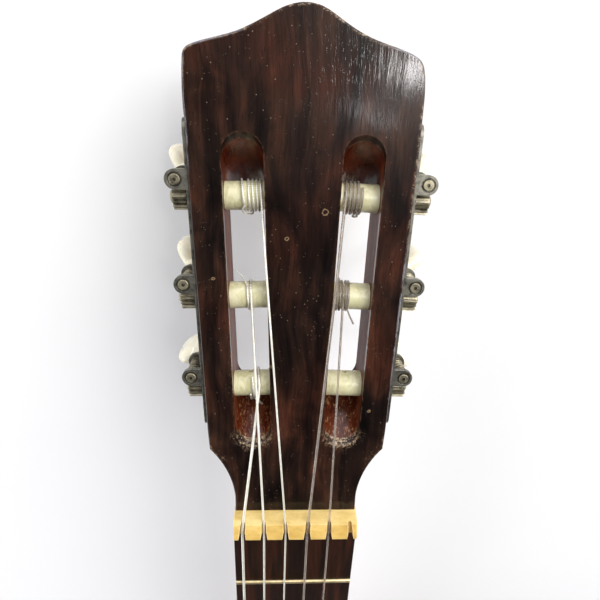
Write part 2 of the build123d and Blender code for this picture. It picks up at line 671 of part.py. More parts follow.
with BuildPart() as plate_screws:
    for side in (-1, 1):
        for screw_y in SCREW_YS:
            frame = tuner_frame(side, screw_y)
            screw_turn = frame.y_dir * cos(screw_y) + frame.z_dir * sin(screw_y)
            outward = Plane(origin=frame.origin, x_dir=screw_turn, z_dir=frame.x_dir * side)
            with Locations(outward):
                add(screw_blank.part)

# The worm stands on z with its gear at z 0, towards -y. Its thread is right-handed, one start.
THREAD_START = -2.75 * WORM_LEAD
with BuildPart() as worm_blank:
    with BuildLine() as thread_line:
        Helix(WORM_LEAD, 5 * WORM_LEAD, WORM_CORE_R, center=(0, 0, THREAD_START))
    thread_way = thread_line.line % 0
    with BuildSketch(Plane(origin=thread_line.line @ 0, x_dir=(1, 0, 0), z_dir=thread_way)):
        thread_out = WORM_TIP_R - WORM_CORE_R
        Polygon((-0.2, -0.4), (thread_out, -0.22), (thread_out, 0.22), (-0.2, 0.4), align=None)
    sweep(path=thread_line.line, is_frenet=True)
    with BuildSketch(Plane.XY.offset(WORM_LOW)):
        Circle(WORM_CORE_R)
    extrude(amount=WORM_HIGH - WORM_LOW)
    thread_end = THREAD_START + 5 * WORM_LEAD
    for collar_low, collar_high in ((WORM_LOW, THREAD_START - 0.6), (thread_end + 0.6, WORM_HIGH)):
        with BuildSketch(Plane.XY.offset(collar_low)):
            Circle(WORM_TIP_R)
        extrude(amount=collar_high - collar_low)
    for end_low, end_high in ((WORM_HIGH, PLATE_FRONT + 0.4), (PLATE_BACK - 2.2, WORM_LOW)):
        with BuildSketch(Plane.XY.offset(end_low)):
            Circle(WORM_SHAFT_R)
        extrude(amount=end_high - end_low)
    fillet(worm_blank.faces().sort_by(Axis.Z)[-1].edges(), radius=0.25)
    with BuildSketch(Plane.XY.offset(PLATE_FRONT + 0.4)):
        Circle(0.6)
    extrude(amount=-0.6, mode=Mode.SUBTRACT)

BUTTON_TOP = PLATE_BACK - 0.5
BUTTON_BORE = 1.7
with BuildPart() as button_blank:
    with BuildSketch(Plane.XZ):
        with Locations((0, BUTTON_TOP - BUTTON_NECK_L + 0.3 - BUTTON_L / 2)):
            RectangleRounded(BUTTON_W, BUTTON_L, BUTTON_CORNER_R)
    extrude(amount=BUTTON_T / 2, both=True)
    fillet(button_blank.edges(), radius=BUTTON_T * 0.36)
    with BuildSketch(Plane.XY.offset(BUTTON_TOP)):
        Circle(BUTTON_NECK_R)
    extrude(amount=-BUTTON_NECK_L - 1)
    with BuildSketch(Plane.XY.offset(BUTTON_TOP)):
        Circle(WORM_SHAFT_R)
    extrude(amount=-BUTTON_BORE, mode=Mode.SUBTRACT)

with BuildPart() as gear_blank:
    with BuildSketch(Plane.XY.offset(GEAR_IN)):
        Circle(GEAR_ROOT_R)
        with PolarLocations(0, GEAR_TEETH, start_angle=180 / GEAR_TEETH):
            Polygon(
                (GEAR_ROOT_R - 0.3, -0.48), (GEAR_TIP_R, -0.27), (GEAR_TIP_R, 0.27),
                (GEAR_ROOT_R - 0.3, 0.48), align=None,
            )
    extrude(amount=GEAR_T)
    with BuildSketch(Plane.XY.offset(PLATE_T + 0.15)):
        Circle(3.1)
    extrude(amount=GEAR_IN - PLATE_T - 0.15)
    with BuildSketch(Plane.XY.offset(-8)):
        Circle(SPINDLE_R)
    extrude(amount=8 + GEAR_IN)
    with BuildSketch(Plane.XY.offset(GEAR_IN + GEAR_T)):
        Circle(2.3)
    extrude(amount=1.1)
    fillet(gear_blank.faces().sort_by(Axis.Z)[-1].edges(), radius=0.8)


def make_roller(number):
    """A roller, from its bearing in the middle of the head out to the head's side."""
    side, place = ROLLERS[number]
    y = ROLLER_FIRST_Y + ROLLER_PITCH * place
    frame = tuner_frame(side, y)
    length = side_x(y) - ROLLER_INNER_X - 0.2
    with BuildPart() as roller:
        with BuildSketch(across_from(frame, -side * 0.2)):
            Circle(ROLLER_R)
        extrude(amount=-side * length)
        with BuildSketch(across_from(frame, -side * 0.2)):
            Circle(SPINDLE_R)
        extrude(amount=-side * 7.8, mode=Mode.SUBTRACT)
        tie_x = -side * (side_x(y) - 17.5 - 0.02 * place)
        with BuildSketch(facing_up_the_head(frame, tie_x)):
            Circle(0.9)
        extrude(amount=ROLLER_R + 1, both=True, mode=Mode.SUBTRACT)
    return roller.part


def make_winding(number):
    """The string's turns on its roller, as one sleeve."""
    diameter, _, wound_in, wound_out, _ = STRINGS[number]
    side, place = ROLLERS[number]
    y = ROLLER_FIRST_Y + ROLLER_PITCH * place
    frame = tuner_frame(side, y)
    first = side * (wound_in - side_x(y))
    with BuildPart() as winding:
        with BuildSketch(across_from(frame, first)):
            Circle(ROLLER_R + diameter)
            Circle(ROLLER_R, mode=Mode.SUBTRACT)
        extrude(amount=side * (wound_out - wound_in))
    return winding.part


tuner_parts = {}
for number, (side, place) in ROLLERS.items():
    frame = tuner_frame(side, ROLLER_FIRST_Y + ROLLER_PITCH * place)
    worm_at = facing_out(frame, side * LUG_OUT, WORM_AHEAD, 0)
    turned = Location(worm_at.location.position, worm_at.location.orientation) * Rotation(
        0, 0, BUTTON_TURN[number]
    )
    gear_at = Plane(origin=frame.origin, x_dir=frame.y_dir, z_dir=frame.x_dir * side)
    with BuildPart() as worm:
        with Locations(worm_at):
            add(worm_blank.part)
    with BuildPart() as button:
        with Locations(turned):
            add(button_blank.part)
    with BuildPart() as gear:
        with Locations(gear_at):
            add(gear_blank.part)
    tuner_parts[f"worm_{number}"] = worm.part
    tuner_parts[f"button_{number}"] = button.part
    tuner_parts[f"gear_{number}"] = gear.part
    tuner_parts[f"roller_{number}"] = make_roller(number)
    if number in STRINGS:
        tuner_parts[f"winding_{number}"] = make_winding(number)


# ---------------------------------------------------------------- strings
def make_string(number):
    """A string from just short of its winding, over nut and saddle, through the tie block and back."""
    diameter = STRINGS[number][0]
    radius = diameter / 2
    bend = string_bend(number, diameter)
    *rests, touch = [head.from_local_coords(point) for point in head_route(number)]
    way = ((rests[0] if rests else bend) - touch).normalized()
    wound_r = ROLLER_R + radius
    stay_back = ((wound_r + diameter + 0.35) ** 2 - wound_r**2) ** 0.5
    x = string_x(number, SADDLE_FIRST_X, SADDLE_SPACING)
    loop_y = TIE_BACK_Y - radius - 0.25
    loop_z = TIE_TOP + radius + 0.2
    points = [
        touch + way * stay_back,
        *rests,
        bend,
        Vector(x, SADDLE_MID_Y - 0.85, SADDLE_TOP + radius + 0.3),
        Vector(x, TIE_FRONT_Y + 1.5, TIE_Z),
        Vector(x, loop_y, TIE_Z),
        Vector(x, loop_y, loop_z),
        Vector(x, TIE_FRONT_Y - 1.5, loop_z),
    ]
    with BuildPart() as string:
        with BuildLine() as route:
            FilletPolyline(*points, radius=[*(12 for _ in rests), 6, 1.6, 1.6, 0.8, 0.8])
        with BuildSketch(Plane(origin=route.line @ 0, z_dir=route.line % 0)):
            Circle(radius)
        sweep(path=route.line)
    return string.part


string_parts = {f"string_{number}": make_string(number) for number in STRINGS}

# ---------------------------------------------------------------- files
pieces = {
    "soundboard": soundboard.part,
    "back_plate": back_plate.part,
    "bass_side": bass_side.part,
    "treble_side": treble_side.part,
    "linings": linings.part,
    "bindings": bindings.part,
    "tail_block": tail_block.part,
    "heel_block": heel_block.part,
    "fan_struts": fan_struts.part,
    "harmonic_bars": harmonic_bars.part,
    "back_braces": back_braces.part,
    "back_strip": back_strip.part,
    "soundhole_doubler": soundhole_doubler.part,
    "rosette": rosette.part,
    "bridge": bridge.part,
    "saddle": saddle.part,
    "neck": neck.part,
    "heel_cap": heel_cap.part,
    "headstock": headstock.part,
    "head_veneer": head_veneer.part,
    "fretboard": fretboard.part,
    "frets": frets.part,
    "nut": nut.part,
    "tuner_plate_bass": tuner_plate_bass.part,
    "tuner_plate_treble": tuner_plate_treble.part,
    "plate_screws": plate_screws.part,
    **tuner_parts,
    **string_parts,
}

os.makedirs("parts", exist_ok=True)
for name, piece in pieces.items():
    piece.label = name
    export_step(piece, f"parts/{name}.step")
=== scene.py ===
import json
import math

import bpy
import bmesh
from mathutils import Matrix, Vector


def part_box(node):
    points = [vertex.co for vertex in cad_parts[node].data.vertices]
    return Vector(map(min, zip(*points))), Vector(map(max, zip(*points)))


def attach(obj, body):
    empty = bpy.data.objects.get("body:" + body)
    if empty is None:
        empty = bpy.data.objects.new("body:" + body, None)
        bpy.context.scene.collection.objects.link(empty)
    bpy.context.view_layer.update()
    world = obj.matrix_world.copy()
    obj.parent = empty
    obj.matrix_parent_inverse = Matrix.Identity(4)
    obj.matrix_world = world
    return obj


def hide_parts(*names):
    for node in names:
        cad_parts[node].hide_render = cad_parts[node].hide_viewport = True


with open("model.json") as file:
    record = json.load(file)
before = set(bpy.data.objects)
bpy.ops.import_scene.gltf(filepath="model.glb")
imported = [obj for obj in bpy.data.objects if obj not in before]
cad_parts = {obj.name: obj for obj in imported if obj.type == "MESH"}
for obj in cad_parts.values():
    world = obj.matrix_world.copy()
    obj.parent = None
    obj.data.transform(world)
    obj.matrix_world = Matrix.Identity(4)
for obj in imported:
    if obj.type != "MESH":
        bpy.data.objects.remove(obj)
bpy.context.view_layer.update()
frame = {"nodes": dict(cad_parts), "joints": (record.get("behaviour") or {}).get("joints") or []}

# Everything is in metres, in the guitar's frame. MM turns the millimetres that a luthier would use.
MM = 0.001
PER_MM = 1 / MM
JOINTS = {joint["name"]: joint for joint in frame["joints"]}
NODES = frame["nodes"]


# ---------------------------------------------------------------- places
# The head's frame: x to the treble side, y up the face, z out of the face, from the nut's rear edge.
HEAD_Z = Vector(JOINTS["button_1_turn"]["axis"]).normalized()
HEAD_X = Vector((1, 0, 0))
HEAD_Y = HEAD_Z.cross(HEAD_X)
NUT_LOW, NUT_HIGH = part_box("nut")
VENEER_TOP_AT_NUT = 97.6 * MM
HEAD_ORIGIN = Vector((0, NUT_HIGH.y, VENEER_TOP_AT_NUT))
HEAD = Matrix.Translation(HEAD_ORIGIN) @ Matrix((HEAD_X, HEAD_Y, HEAD_Z)).transposed().to_4x4()
HEAD_ANGLE = math.asin(HEAD_Z.y)
SOUND_HOLE_Y = sum(corner.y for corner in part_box("rosette")) / 2
ROLLER_R = 4.84 * MM
STRING_BEND_BACK = 3.0 * MM
NUT_STRING_Z = 103.7 * MM
NUT_FIRST_X, NUT_SPACING = -20.6 * MM, 8.4 * MM
SADDLE_SPACING, MIDDLE_STRING = 11.6 * MM, 3.5


# String number: diameter, place across its roller, turns as (how many, place across it where they end),
# and how far up the head it rests on its slot's edge. Millimetres, as in the CAD.
STRINGS = {
    6: (1.09, 14.2, ((1.1, 16.8),), 29.0),
    5: (0.86, 17.0, ((1.15, 18.4),), None),
    4: (0.74, 13.5, ((3.75, 18.6), (0.5, 20.2)), 106.0),
    3: (1.02, 14.2, ((4.1, 19.8),), 96.0),
    2: (0.82, 15.1, ((2.1, 12.9), (0.5, 15.6), (1.9, 17.4)), None),
}
WOUND_STRINGS = (6, 5, 4)
# The free end of each string: its thickness, then points as (place across the roller, degrees round it
# from the head's tip towards the face, height over it).
TAILS = {
    6: (0.8, ((17.6, 120, 0.5), (17.6, 150, 1.2), (17.3, 172, 1.3), (16.6, 182, 1.9), (13.8, 188, 5.4))),
    5: (0.35, ((18.4, 60, 0.4), (18.9, 25, 0.9), (20.4, 8, 2.6), (22.4, 2, 4.4))),
    4: (0.6, ((18.7, 118, 1.0), (19.9, 128, 1.3), (19.7, 142, 1.5), (18.3, 152, 1.6), (16.9, 172, 1.3),
              (16.5, 188, 0.6))),
    3: (0.8, ((18.6, 140, 0.8), (18.9, 165, 1.4), (18.3, 182, 1.7), (17.6, 176, 1.3))),
    2: (0.6, ((16.2, 110, 1.2), (17.4, 140, 1.5), (17.8, 168, 1.2), (18.9, 178, 3.4), (20.3, 180, 6.0))),
}
# The side of the head that each string's roller is on, and each button's turn in degrees.
SIDES = {6: -1, 5: -1, 4: -1, 3: 1, 2: 1, 1: 1}
BUTTON_TURN = {6: 27, 5: -60, 4: -60, 3: 54, 2: 36, 1: -35}


# ---------------------------------------------------------------- material nodes
class Graph:
    """One material's nodes, written in the order that they feed each other."""

    def __init__(self, name):
        self.material = bpy.data.materials.new(name)
        self.material.use_nodes = True
        self.tree = self.material.node_tree
        self.tree.nodes.clear()
        self.coordinates = self.add("ShaderNodeTexCoord").outputs["Object"]

    def add(self, kind, inputs=(), **settings):
        node = self.tree.nodes.new(kind)
        for name, value in settings.items():
            setattr(node, name, value)
        for name, value in dict(inputs).items():
            if isinstance(value, bpy.types.NodeSocket):
                self.tree.links.new(value, node.inputs[name])
            else:
                node.inputs[name].default_value = value
        return node

    def place(self, scale=(1, 1, 1), turn=(0, 0, 0), shift=(0, 0, 0)):
        """Object coordinates, turned, moved and then scaled."""
        inputs = {"Vector": self.coordinates, "Rotation": turn, "Location": shift}
        turned = self.add("ShaderNodeMapping", inputs).outputs[0]
        return self.add("ShaderNodeMapping", {"Vector": turned, "Scale": scale}).outputs[0]

    def noise(self, vector, scale=1.0, detail=4.0, rough=0.55, distort=0.0):
        inputs = {
            "Vector": vector, "Scale": scale, "Detail": detail, "Roughness": rough, "Distortion": distort,
        }
        return self.add("ShaderNodeTexNoise", inputs).outputs["Fac"]

    def spots(self, vector, scale, size):
        """1 inside scattered round spots, 0 outside."""
        cells = self.add("ShaderNodeTexVoronoi", {"Vector": vector, "Scale": scale})
        return self.ramp(cells.outputs["Distance"], ((size * 0.6, (1, 1, 1)), (size, (0, 0, 0))))

    def ramp(self, factor, stops):
        """A colour ramp; each stop is (place, (red, green, blue))."""
        ramp = self.add("ShaderNodeValToRGB", {"Fac": factor})
        elements = ramp.color_ramp.elements
        for number, (place, colour) in enumerate(stops):
            element = elements[number] if number < 2 else elements.new(place)
            element.position = place
            element.color = (*colour, 1)
        return ramp.outputs["Color"]

    def mask(self, factor, low, high):
        """0 at low and 1 at high, and level beyond them; low may be the greater."""
        inputs = {"Value": factor, "From Min": low, "From Max": high}
        return self.add("ShaderNodeMapRange", inputs).outputs[0]

    def mix(self, factor, first, second, blend="MIX"):
        node = self.add("ShaderNodeMix", data_type="RGBA", blend_type=blend)
        for place, value in ((0, factor), (6, first), (7, second)):
            if isinstance(value, bpy.types.NodeSocket):
                self.tree.links.new(value, node.inputs[place])
            elif place == 0:
                node.inputs[place].default_value = value
            else:
                node.inputs[place].default_value = (*value, 1)
        return node.outputs[2]

    def tint(self, colour, by):
        return self.mix(1.0, colour, by, "MULTIPLY")

    def paint(self, colour, where, amount, tone):
        """The colour with `amount` of a tone over it where the mask is 1."""
        return self.mix(self.math("MULTIPLY", where, amount), colour, tone)

    def math(self, operation, first, second=0.0):
        node = self.add("ShaderNodeMath", operation=operation)
        for place, value in enumerate((first, second)):
            if isinstance(value, bpy.types.NodeSocket):
                self.tree.links.new(value, node.inputs[place])
            else:
                node.inputs[place].default_value = value
        return node.outputs[0]

    def both(self, first, second):
        return self.math("MULTIPLY", first, second)

    def either(self, *masks):
        where = masks[0]
        for mask in masks[1:]:
            where = self.math("MAXIMUM", where, mask)
        return where

    def vector(self, operation, first, second=None):
        """Vector maths: its outputs are the vector and the number."""
        inputs = {0: first} if second is None else {0: first, 1: second}
        return self.add("ShaderNodeVectorMath", inputs, operation=operation).outputs

    def stretch(self, vector, scale, turn=(0, 0, 0)):
        """A vector scaled and then turned."""
        return self.add("ShaderNodeMapping", {"Vector": vector, "Rotation": turn, "Scale": scale}).outputs[0]

    def spread(self, factor, low, high):
        """The factor's 0 to 1 as low to high."""
        return self.add("ShaderNodeMapRange", {"Value": factor, "To Min": low, "To Max": high}).outputs[0]

    def openness(self, distance):
        """1 in the open, less in a hollow of about that size."""
        return self.add("ShaderNodeAmbientOcclusion", {"Distance": distance}, samples=4).outputs["AO"]

    def normal(self):
        return self.add("ShaderNodeNewGeometry").outputs["Normal"]

    def edges(self, radius, keep, lose):
        """1 on sharp edges, 0 on flat surfaces."""
        rounded_normal = self.add("ShaderNodeBevel", {"Radius": radius}, samples=6).outputs[0]
        alike = self.vector("DOT_PRODUCT", rounded_normal, self.normal())["Value"]
        return self.mask(alike, keep, lose)

    def bump(self, height, strength, distance, normal=None):
        inputs = {"Height": height, "Strength": strength, "Distance": distance}
        if normal:
            inputs["Normal"] = normal
        return self.add("ShaderNodeBump", inputs).outputs[0]

    def split(self, vector):
        return self.add("ShaderNodeSeparateXYZ", {"Vector": vector}).outputs

    def finish(self, **inputs):
        """The shader. Names are the sockets' names, with spaces as underscores."""
        named = {name.replace("_", " "): value for name, value in inputs.items()}
        shader = self.add("ShaderNodeBsdfPrincipled", named)
        output = self.add("ShaderNodeOutputMaterial")
        self.tree.links.new(shader.outputs[0], output.inputs[0])
        return self.material


# Sizes in these materials are in millimetres unless they say otherwise: place() is given PER_MM.
DUST_TONE = (0.30, 0.24, 0.18)
RED_BROWN_CHIP, PALE_CHIP = (0.20, 0.10, 0.05), (0.58, 0.45, 0.30)
HEAD_TURN = (HEAD_ANGLE, 0, 0)


def wood(name, tones, turn=(0, 0, 0), streak=6.0, stretch=18.0, lines=1.6, gloss=0.28, pores=0.35,
         line_depth=0.4):
    """Wood whose grain runs along y, once turned. Tones go from dark to light; streak is the width of
    its colour bands and lines that of its fine grain."""
    g = Graph(name)
    bands = g.place(scale=(PER_MM / streak, PER_MM / streak / stretch, PER_MM / streak), turn=turn)
    wander = g.noise(bands, 1.0, 5, 0.6, 0.6)
    steps = len(tones) - 1
    colour = g.ramp(wander, [(0.3 + 0.4 * step / steps, tone) for step, tone in enumerate(tones)])
    fine = g.place(scale=(PER_MM / lines, PER_MM / lines / 40, PER_MM / lines), turn=turn)
    grain = g.noise(fine, 1.0, 3, 0.6)
    colour = g.tint(colour, g.ramp(grain, ((0.35, (1 - line_depth,) * 3), (0.65, (1, 1, 1)))))
    pore_place = g.place(scale=(PER_MM * 3.0, PER_MM * 0.25, PER_MM * 3.0), turn=turn)
    pore = g.mask(g.noise(pore_place, 1.0, 2, 0.5), 0.62, 0.7)
    colour = g.paint(colour, pore, pores, (0.01, 0.006, 0.004))
    smear = g.noise(g.place(scale=(PER_MM / 30,) * 3), 1.0, 4, 0.6)
    rough = g.spread(smear, gloss * 0.75, gloss * 1.35)
    surface = g.math("ADD", g.math("MULTIPLY", grain, 0.5), g.math("MULTIPLY", pore, -0.6))
    return g, colour, rough, g.bump(surface, 0.12, 0.0003)


def plain_wood(name, *arguments, coat=0.0, shine=0.4, **settings):
    g, colour, rough, normal = wood(name, *arguments, **settings)
    return g.finish(Base_Color=colour, Roughness=rough, Normal=normal, Coat_Weight=coat,
                    Coat_Roughness=0.12, Specular_IOR_Level=shine)


# Where the nut's rear edge lies up the head and out of its face, from the guitar's origin.
NUT_UP = (HEAD_ORIGIN.y * math.cos(HEAD_ANGLE) - HEAD_ORIGIN.z * math.sin(HEAD_ANGLE)) * PER_MM
NUT_OUT = (HEAD_ORIGIN.y * math.sin(HEAD_ANGLE) + HEAD_ORIGIN.z * math.cos(HEAD_ANGLE)) * PER_MM


def on_head(g):
    """A point's place in millimetres across and up the head, from the nut's rear edge, and the same
    place as the head's materials use it, from the guitar's origin."""
    flat = g.place(scale=(PER_MM,) * 3, turn=HEAD_TURN)
    axes = g.split(flat)
    return axes["X"], g.math("SUBTRACT", axes["Y"], NUT_UP), flat


def head_core_material():
    """The head's mahogany, dark, glossy and scuffed where the slots' ends face the light."""
    g, colour, rough, normal = wood("head_mahogany", MAHOGANY, turn=HEAD_TURN, streak=6, stretch=14,
                                    gloss=0.42)
    _, up, flat = on_head(g)
    slot_end = g.mask(g.vector("DOT_PRODUCT", g.normal(), HEAD_Z)["Value"], 0.12, 0.35)
    colour = g.mix(slot_end, colour, g.tint(colour, (0.52, 0.36, 0.28)))
    chafed = g.both(slot_end, g.mask(up, 55, 42))
    scuffs = g.mask(g.noise(g.stretch(flat, (1.3, 0.35, 0.6)), 1.0, 6, 0.8), 0.55, 0.62)
    scuffs = g.both(scuffs, chafed)
    colour = g.paint(colour, scuffs, 0.8, (0.36, 0.21, 0.09))
    rough = g.math("SUBTRACT", rough, g.math("MULTIPLY", slot_end, 0.15))
    return g.finish(Base_Color=colour, Roughness=rough, Normal=g.bump(scuffs, 0.3, 0.0004, normal),
                    Coat_Weight=g.math("MULTIPLY", slot_end, 0.5), Coat_Roughness=0.12,
                    Specular_IOR_Level=0.12)


# Small rings knocked into the head's face: place across and up the head, and radius, in millimetres.
KNOCKS = ((-5.0, 109.0, 0.55), (24.5, 113.5, 0.4), (7.4, 118.0, 0.9), (26.5, 44.5, 0.4),
          (-10.0, 62.5, 0.4), (-29.5, 95.0, 0.4))


def veneer_material():
    """Dark rosewood under old lacquer, with its dust, scratches, knocks and chipped edges."""
    g = Graph("veneer")
    across, up, flat = on_head(g)
    sway = g.add("ShaderNodeTexNoise", {"Vector": flat, "Scale": 0.03}).outputs["Color"]
    wavy = g.vector("ADD", flat, g.vector("MULTIPLY", sway, (7, 0, 0))["Vector"])["Vector"]
    streak_place = g.stretch(wavy, (1 / 8, 1 / 70, 1 / 8))
    colour, grain, pores = veneer_figure(g, flat, wavy, streak_place)
    dust = veneer_dust(g, flat)
    colour = g.paint(colour, dust, 0.6, DUST_TONE)
    colour, worn = veneer_wear(g, colour, across, up, flat)
    for place_across, place_up, size in KNOCKS:
        colour = g.paint(colour, ring(g, flat, place_across, place_up, size), 0.7, (0.24, 0.16, 0.09))
    scratch_place = g.place(scale=(PER_MM * 2.2, PER_MM / 9, 1), turn=HEAD_TURN)
    scratch = g.mask(g.noise(scratch_place, 1, 2), 0.66, 0.69)
    rough = g.spread(g.noise(flat, 0.06, 5, 0.65), 0.20, 0.42)
    for mark, amount in ((scratch, 0.2), (dust, 0.4), (worn, 0.4)):
        rough = g.math("ADD", rough, g.math("MULTIPLY", mark, amount))
    surface = g.math("ADD", g.math("MULTIPLY", grain, 0.5), g.math("MULTIPLY", pores, -0.2))
    surface = g.math("SUBTRACT", surface, g.math("MULTIPLY", worn, 1.5))
    ripple = g.bump(g.noise(streak_place, 3.0, 3, 0.6), 0.10, 0.0006, g.bump(surface, 0.10, 0.0003))
    coat = g.math("MULTIPLY", g.mask(g.openness(6 * MM), 0.6, 0.9), 0.6)
    return g.finish(Base_Color=colour, Roughness=rough, Normal=ripple, Coat_Weight=coat,
                    Coat_Roughness=0.10, Coat_IOR=1.42, Coat_Normal=ripple, Specular_IOR_Level=0.1)


def veneer_figure(g, flat, wavy, streak_place):
    """The wood itself: streaks, fine grain, dark clouds, warmer patches and pores."""
    colour = g.ramp(g.noise(streak_place, 1.0, 6, 0.55, 0.5), (
        (0.26, (0.0035, 0.0025, 0.0025)), (0.42, (0.012, 0.0068, 0.0052)), (0.52, (0.030, 0.0150, 0.0105)),
        (0.62, (0.024, 0.0126, 0.0092)), (0.76, (0.062, 0.032, 0.020))))
    grain = g.noise(g.stretch(wavy, (1.1, 1 / 45, 1.1)), 1.0, 4, 0.6)
    colour = g.tint(colour, g.ramp(grain, ((0.34, (0.66, 0.64, 0.64)), (0.64, (1.12, 1.08, 1.05)))))
    cloud = g.noise(g.stretch(flat, (1 / 13, 1 / 30, 1), (0, 0, 0.35)), 1.0, 3, 0.5, 0.8)
    colour = g.tint(colour, g.ramp(cloud, (
        (0.32, (0.24, 0.27, 0.32)), (0.48, (0.9, 0.9, 0.9)), (0.68, (2.1, 1.85, 1.6)))))
    warm = g.mask(g.noise(flat, 0.035, 3, 0.5), 0.42, 0.62)
    colour = g.paint(colour, warm, 0.5, g.tint(colour, (1.45, 0.85, 0.72)))
    colour = g.tint(colour, (0.84, 0.82, 0.80))
    pores = g.mask(g.noise(g.stretch(wavy, (3.2, 0.28, 3.2)), 1.0, 2, 0.5), 0.60, 0.68)
    return g.paint(colour, pores, 0.6, (0.003, 0.002, 0.002)), grain, pores


def veneer_dust(g, flat):
    """Dust and specks of old lacquer, thicker in some places."""
    coarse = g.both(g.spots(flat, 0.42, 0.085), g.mask(g.noise(flat, 0.05, 3), 0.38, 0.54))
    fine = g.both(g.spots(flat, 0.95, 0.12), g.mask(g.noise(flat, 0.2, 3), 0.53, 0.63))
    return g.either(coarse, fine)


def veneer_wear(g, colour, across, up, flat):
    """Worn edges: a thin brown line all round, a pale painted highlight here and there where the rounded edge
    would mirror the light, and pale chips where the head has been knocked. The colour with them, and where
    the chips are."""
    broken = g.mask(g.noise(flat, 0.5, 5, 0.7), 0.46, 0.56)
    colour = g.paint(colour, g.both(g.edges(1.0 * MM, 0.985, 0.90), broken), 0.55, (0.14, 0.065, 0.035))
    painted_rim_highlight = g.both(g.edges(0.9 * MM, 0.99, 0.93), painted_rim_highlight_places(g, across, up, flat))
    # Painted highlight: a pale blue-white line on the rounded edge, in place of the lacquer's reflection.
    colour = g.paint(colour, painted_rim_highlight, 0.9, (0.70, 0.72, 0.80))
    chips = g.both(g.mask(g.noise(flat, 0.45, 7, 0.85), 0.51, 0.55), worn_places(g, across, up))
    chips = g.both(g.edges(1.6 * MM, 0.995, 0.93), chips)
    chafed = g.both(slot_feet(g, up), g.mask(g.math("ABSOLUTE", across), 30, 26))
    chafed = g.both(g.edges(4.5 * MM, 0.999, 0.985), chafed)
    splinters = g.mask(g.noise(flat, 1.1, 6, 0.8), 0.54, 0.58)
    worn = g.either(chips, g.both(chafed, splinters))
    bare = g.ramp(g.noise(flat, 2.0, 3), ((0.35, RED_BROWN_CHIP), (0.6, PALE_CHIP)))
    return g.mix(worn, colour, bare), worn


def ring(g, flat, across, up, size):
    """1 on a small uneven ring about a place on the head's face."""
    away = g.vector("SUBTRACT", flat, (across, up + NUT_UP, NUT_OUT))["Vector"]
    wobble = g.noise(flat, 0.9, 2.0, 0.5)
    length = g.math("ADD", g.vector("LENGTH", away)["Value"], wobble)
    return g.mask(g.math("ABSOLUTE", g.math("SUBTRACT", length, size + 0.5)), 0.28, 0.10)


def slot_feet(g, up):
    """Round the ends of the slots nearest the nut, where strings have chafed."""
    return g.both(g.mask(up, 37, 31), g.mask(up, 22, 25))


def worn_places(g, across, up):
    """Where the head has been knocked: its crown, its treble edge, a corner and the slots' feet."""
    crown = g.mask(up, 166, 170)
    treble = g.both(g.mask(across, 33, 34.5), g.mask(up, 100, 125))
    corner = g.both(g.mask(across, -30, -34), g.mask(up, 150, 158))
    return g.either(crown, slot_feet(g, up), treble, corner)


def painted_rim_highlight_places(g, across, up, flat):
    """Where a pale painted highlight on the head's rounded edge stands in for the lacquer's reflection."""
    bass = g.both(g.mask(across, -35.2, -36.2), g.mask(up, 128, 138))
    shoulder = g.both(g.mask(across, -16, -22), g.mask(up, 164.5, 166))
    corner = g.both(g.mask(across, 22, 27), g.mask(up, 156, 161))
    treble = g.both(g.mask(across, 33.2, 34.2), g.mask(up, 112, 100))
    patchy = g.mask(g.noise(flat, 0.22, 4, 0.6), 0.36, 0.52)
    return g.both(g.either(bass, shoulder, corner, treble), patchy)


def nickel_material(name="nickel", tint=(0.21, 0.20, 0.165), dark=(0.045, 0.042, 0.034)):
    """Old plated metal: tarnish, painted shade that darkens the hollows nearly to black, pits, and brighter
    rubbed edges.
    """
    g = Graph(name)
    flat = g.place(scale=(PER_MM,) * 3)
    stain = g.noise(flat, 0.35, 6, 0.7)
    colour = g.ramp(stain, ((0.30, dark), (0.52, tint), (0.75, tuple(1.25 * part for part in tint))))
    pits = g.mask(g.noise(flat, 2.6, 4, 0.7), 0.60, 0.70)
    colour = g.paint(colour, pits, 0.7, (0.04, 0.035, 0.03))
    colour = g.paint(colour, g.edges(0.25 * MM, 0.93, 0.80), 0.6, (0.74, 0.70, 0.60))
    # Painted shade: nearly black in the hollows, by how enclosed the surface is.
    colour = g.mix(g.mask(g.openness(1.2 * MM), 0.75, 0.40), colour, (0.012, 0.010, 0.008))
    rough = g.math("ADD", g.spread(stain, 0.24, 0.55), g.math("MULTIPLY", pits, 0.25))
    height = g.math("SUBTRACT", g.math("MULTIPLY", stain, 0.5), pits)
    return g.finish(Base_Color=colour, Metallic=0.9, Roughness=rough, Normal=g.bump(height, 0.35, 0.0001))


def plastic_material(name, light, dark, stain_tone, rough, stain_from, glow=0.0):
    """Old moulded plastic with cloudy pearl in it and dirt on it."""
    g = Graph(name)
    cloud = g.noise(g.place(scale=(PER_MM / 3, PER_MM / 7, PER_MM / 3)), 1.0, 3, 0.5, 1.5)
    colour = g.ramp(cloud, ((0.3, dark), (0.7, light)))
    dirt = g.mask(g.noise(g.place(scale=(PER_MM / 2.2,) * 3), 1.0, 5, 0.65), stain_from, 0.78)
    colour = g.paint(colour, dirt, 0.55, stain_tone)
    uneven = g.noise(g.place(scale=(PER_MM * 1.5,) * 3), 1.0, 4)
    settings = {"Subsurface_Weight": glow, "Subsurface_Radius": (0.004, 0.003, 0.002),
                "Subsurface_Scale": 0.5} if glow else {}
    return g.finish(Base_Color=colour, Roughness=g.spread(uneven, rough * 0.7, rough * 1.4),
                    Normal=g.bump(uneven, 0.1, 0.0001), **settings)


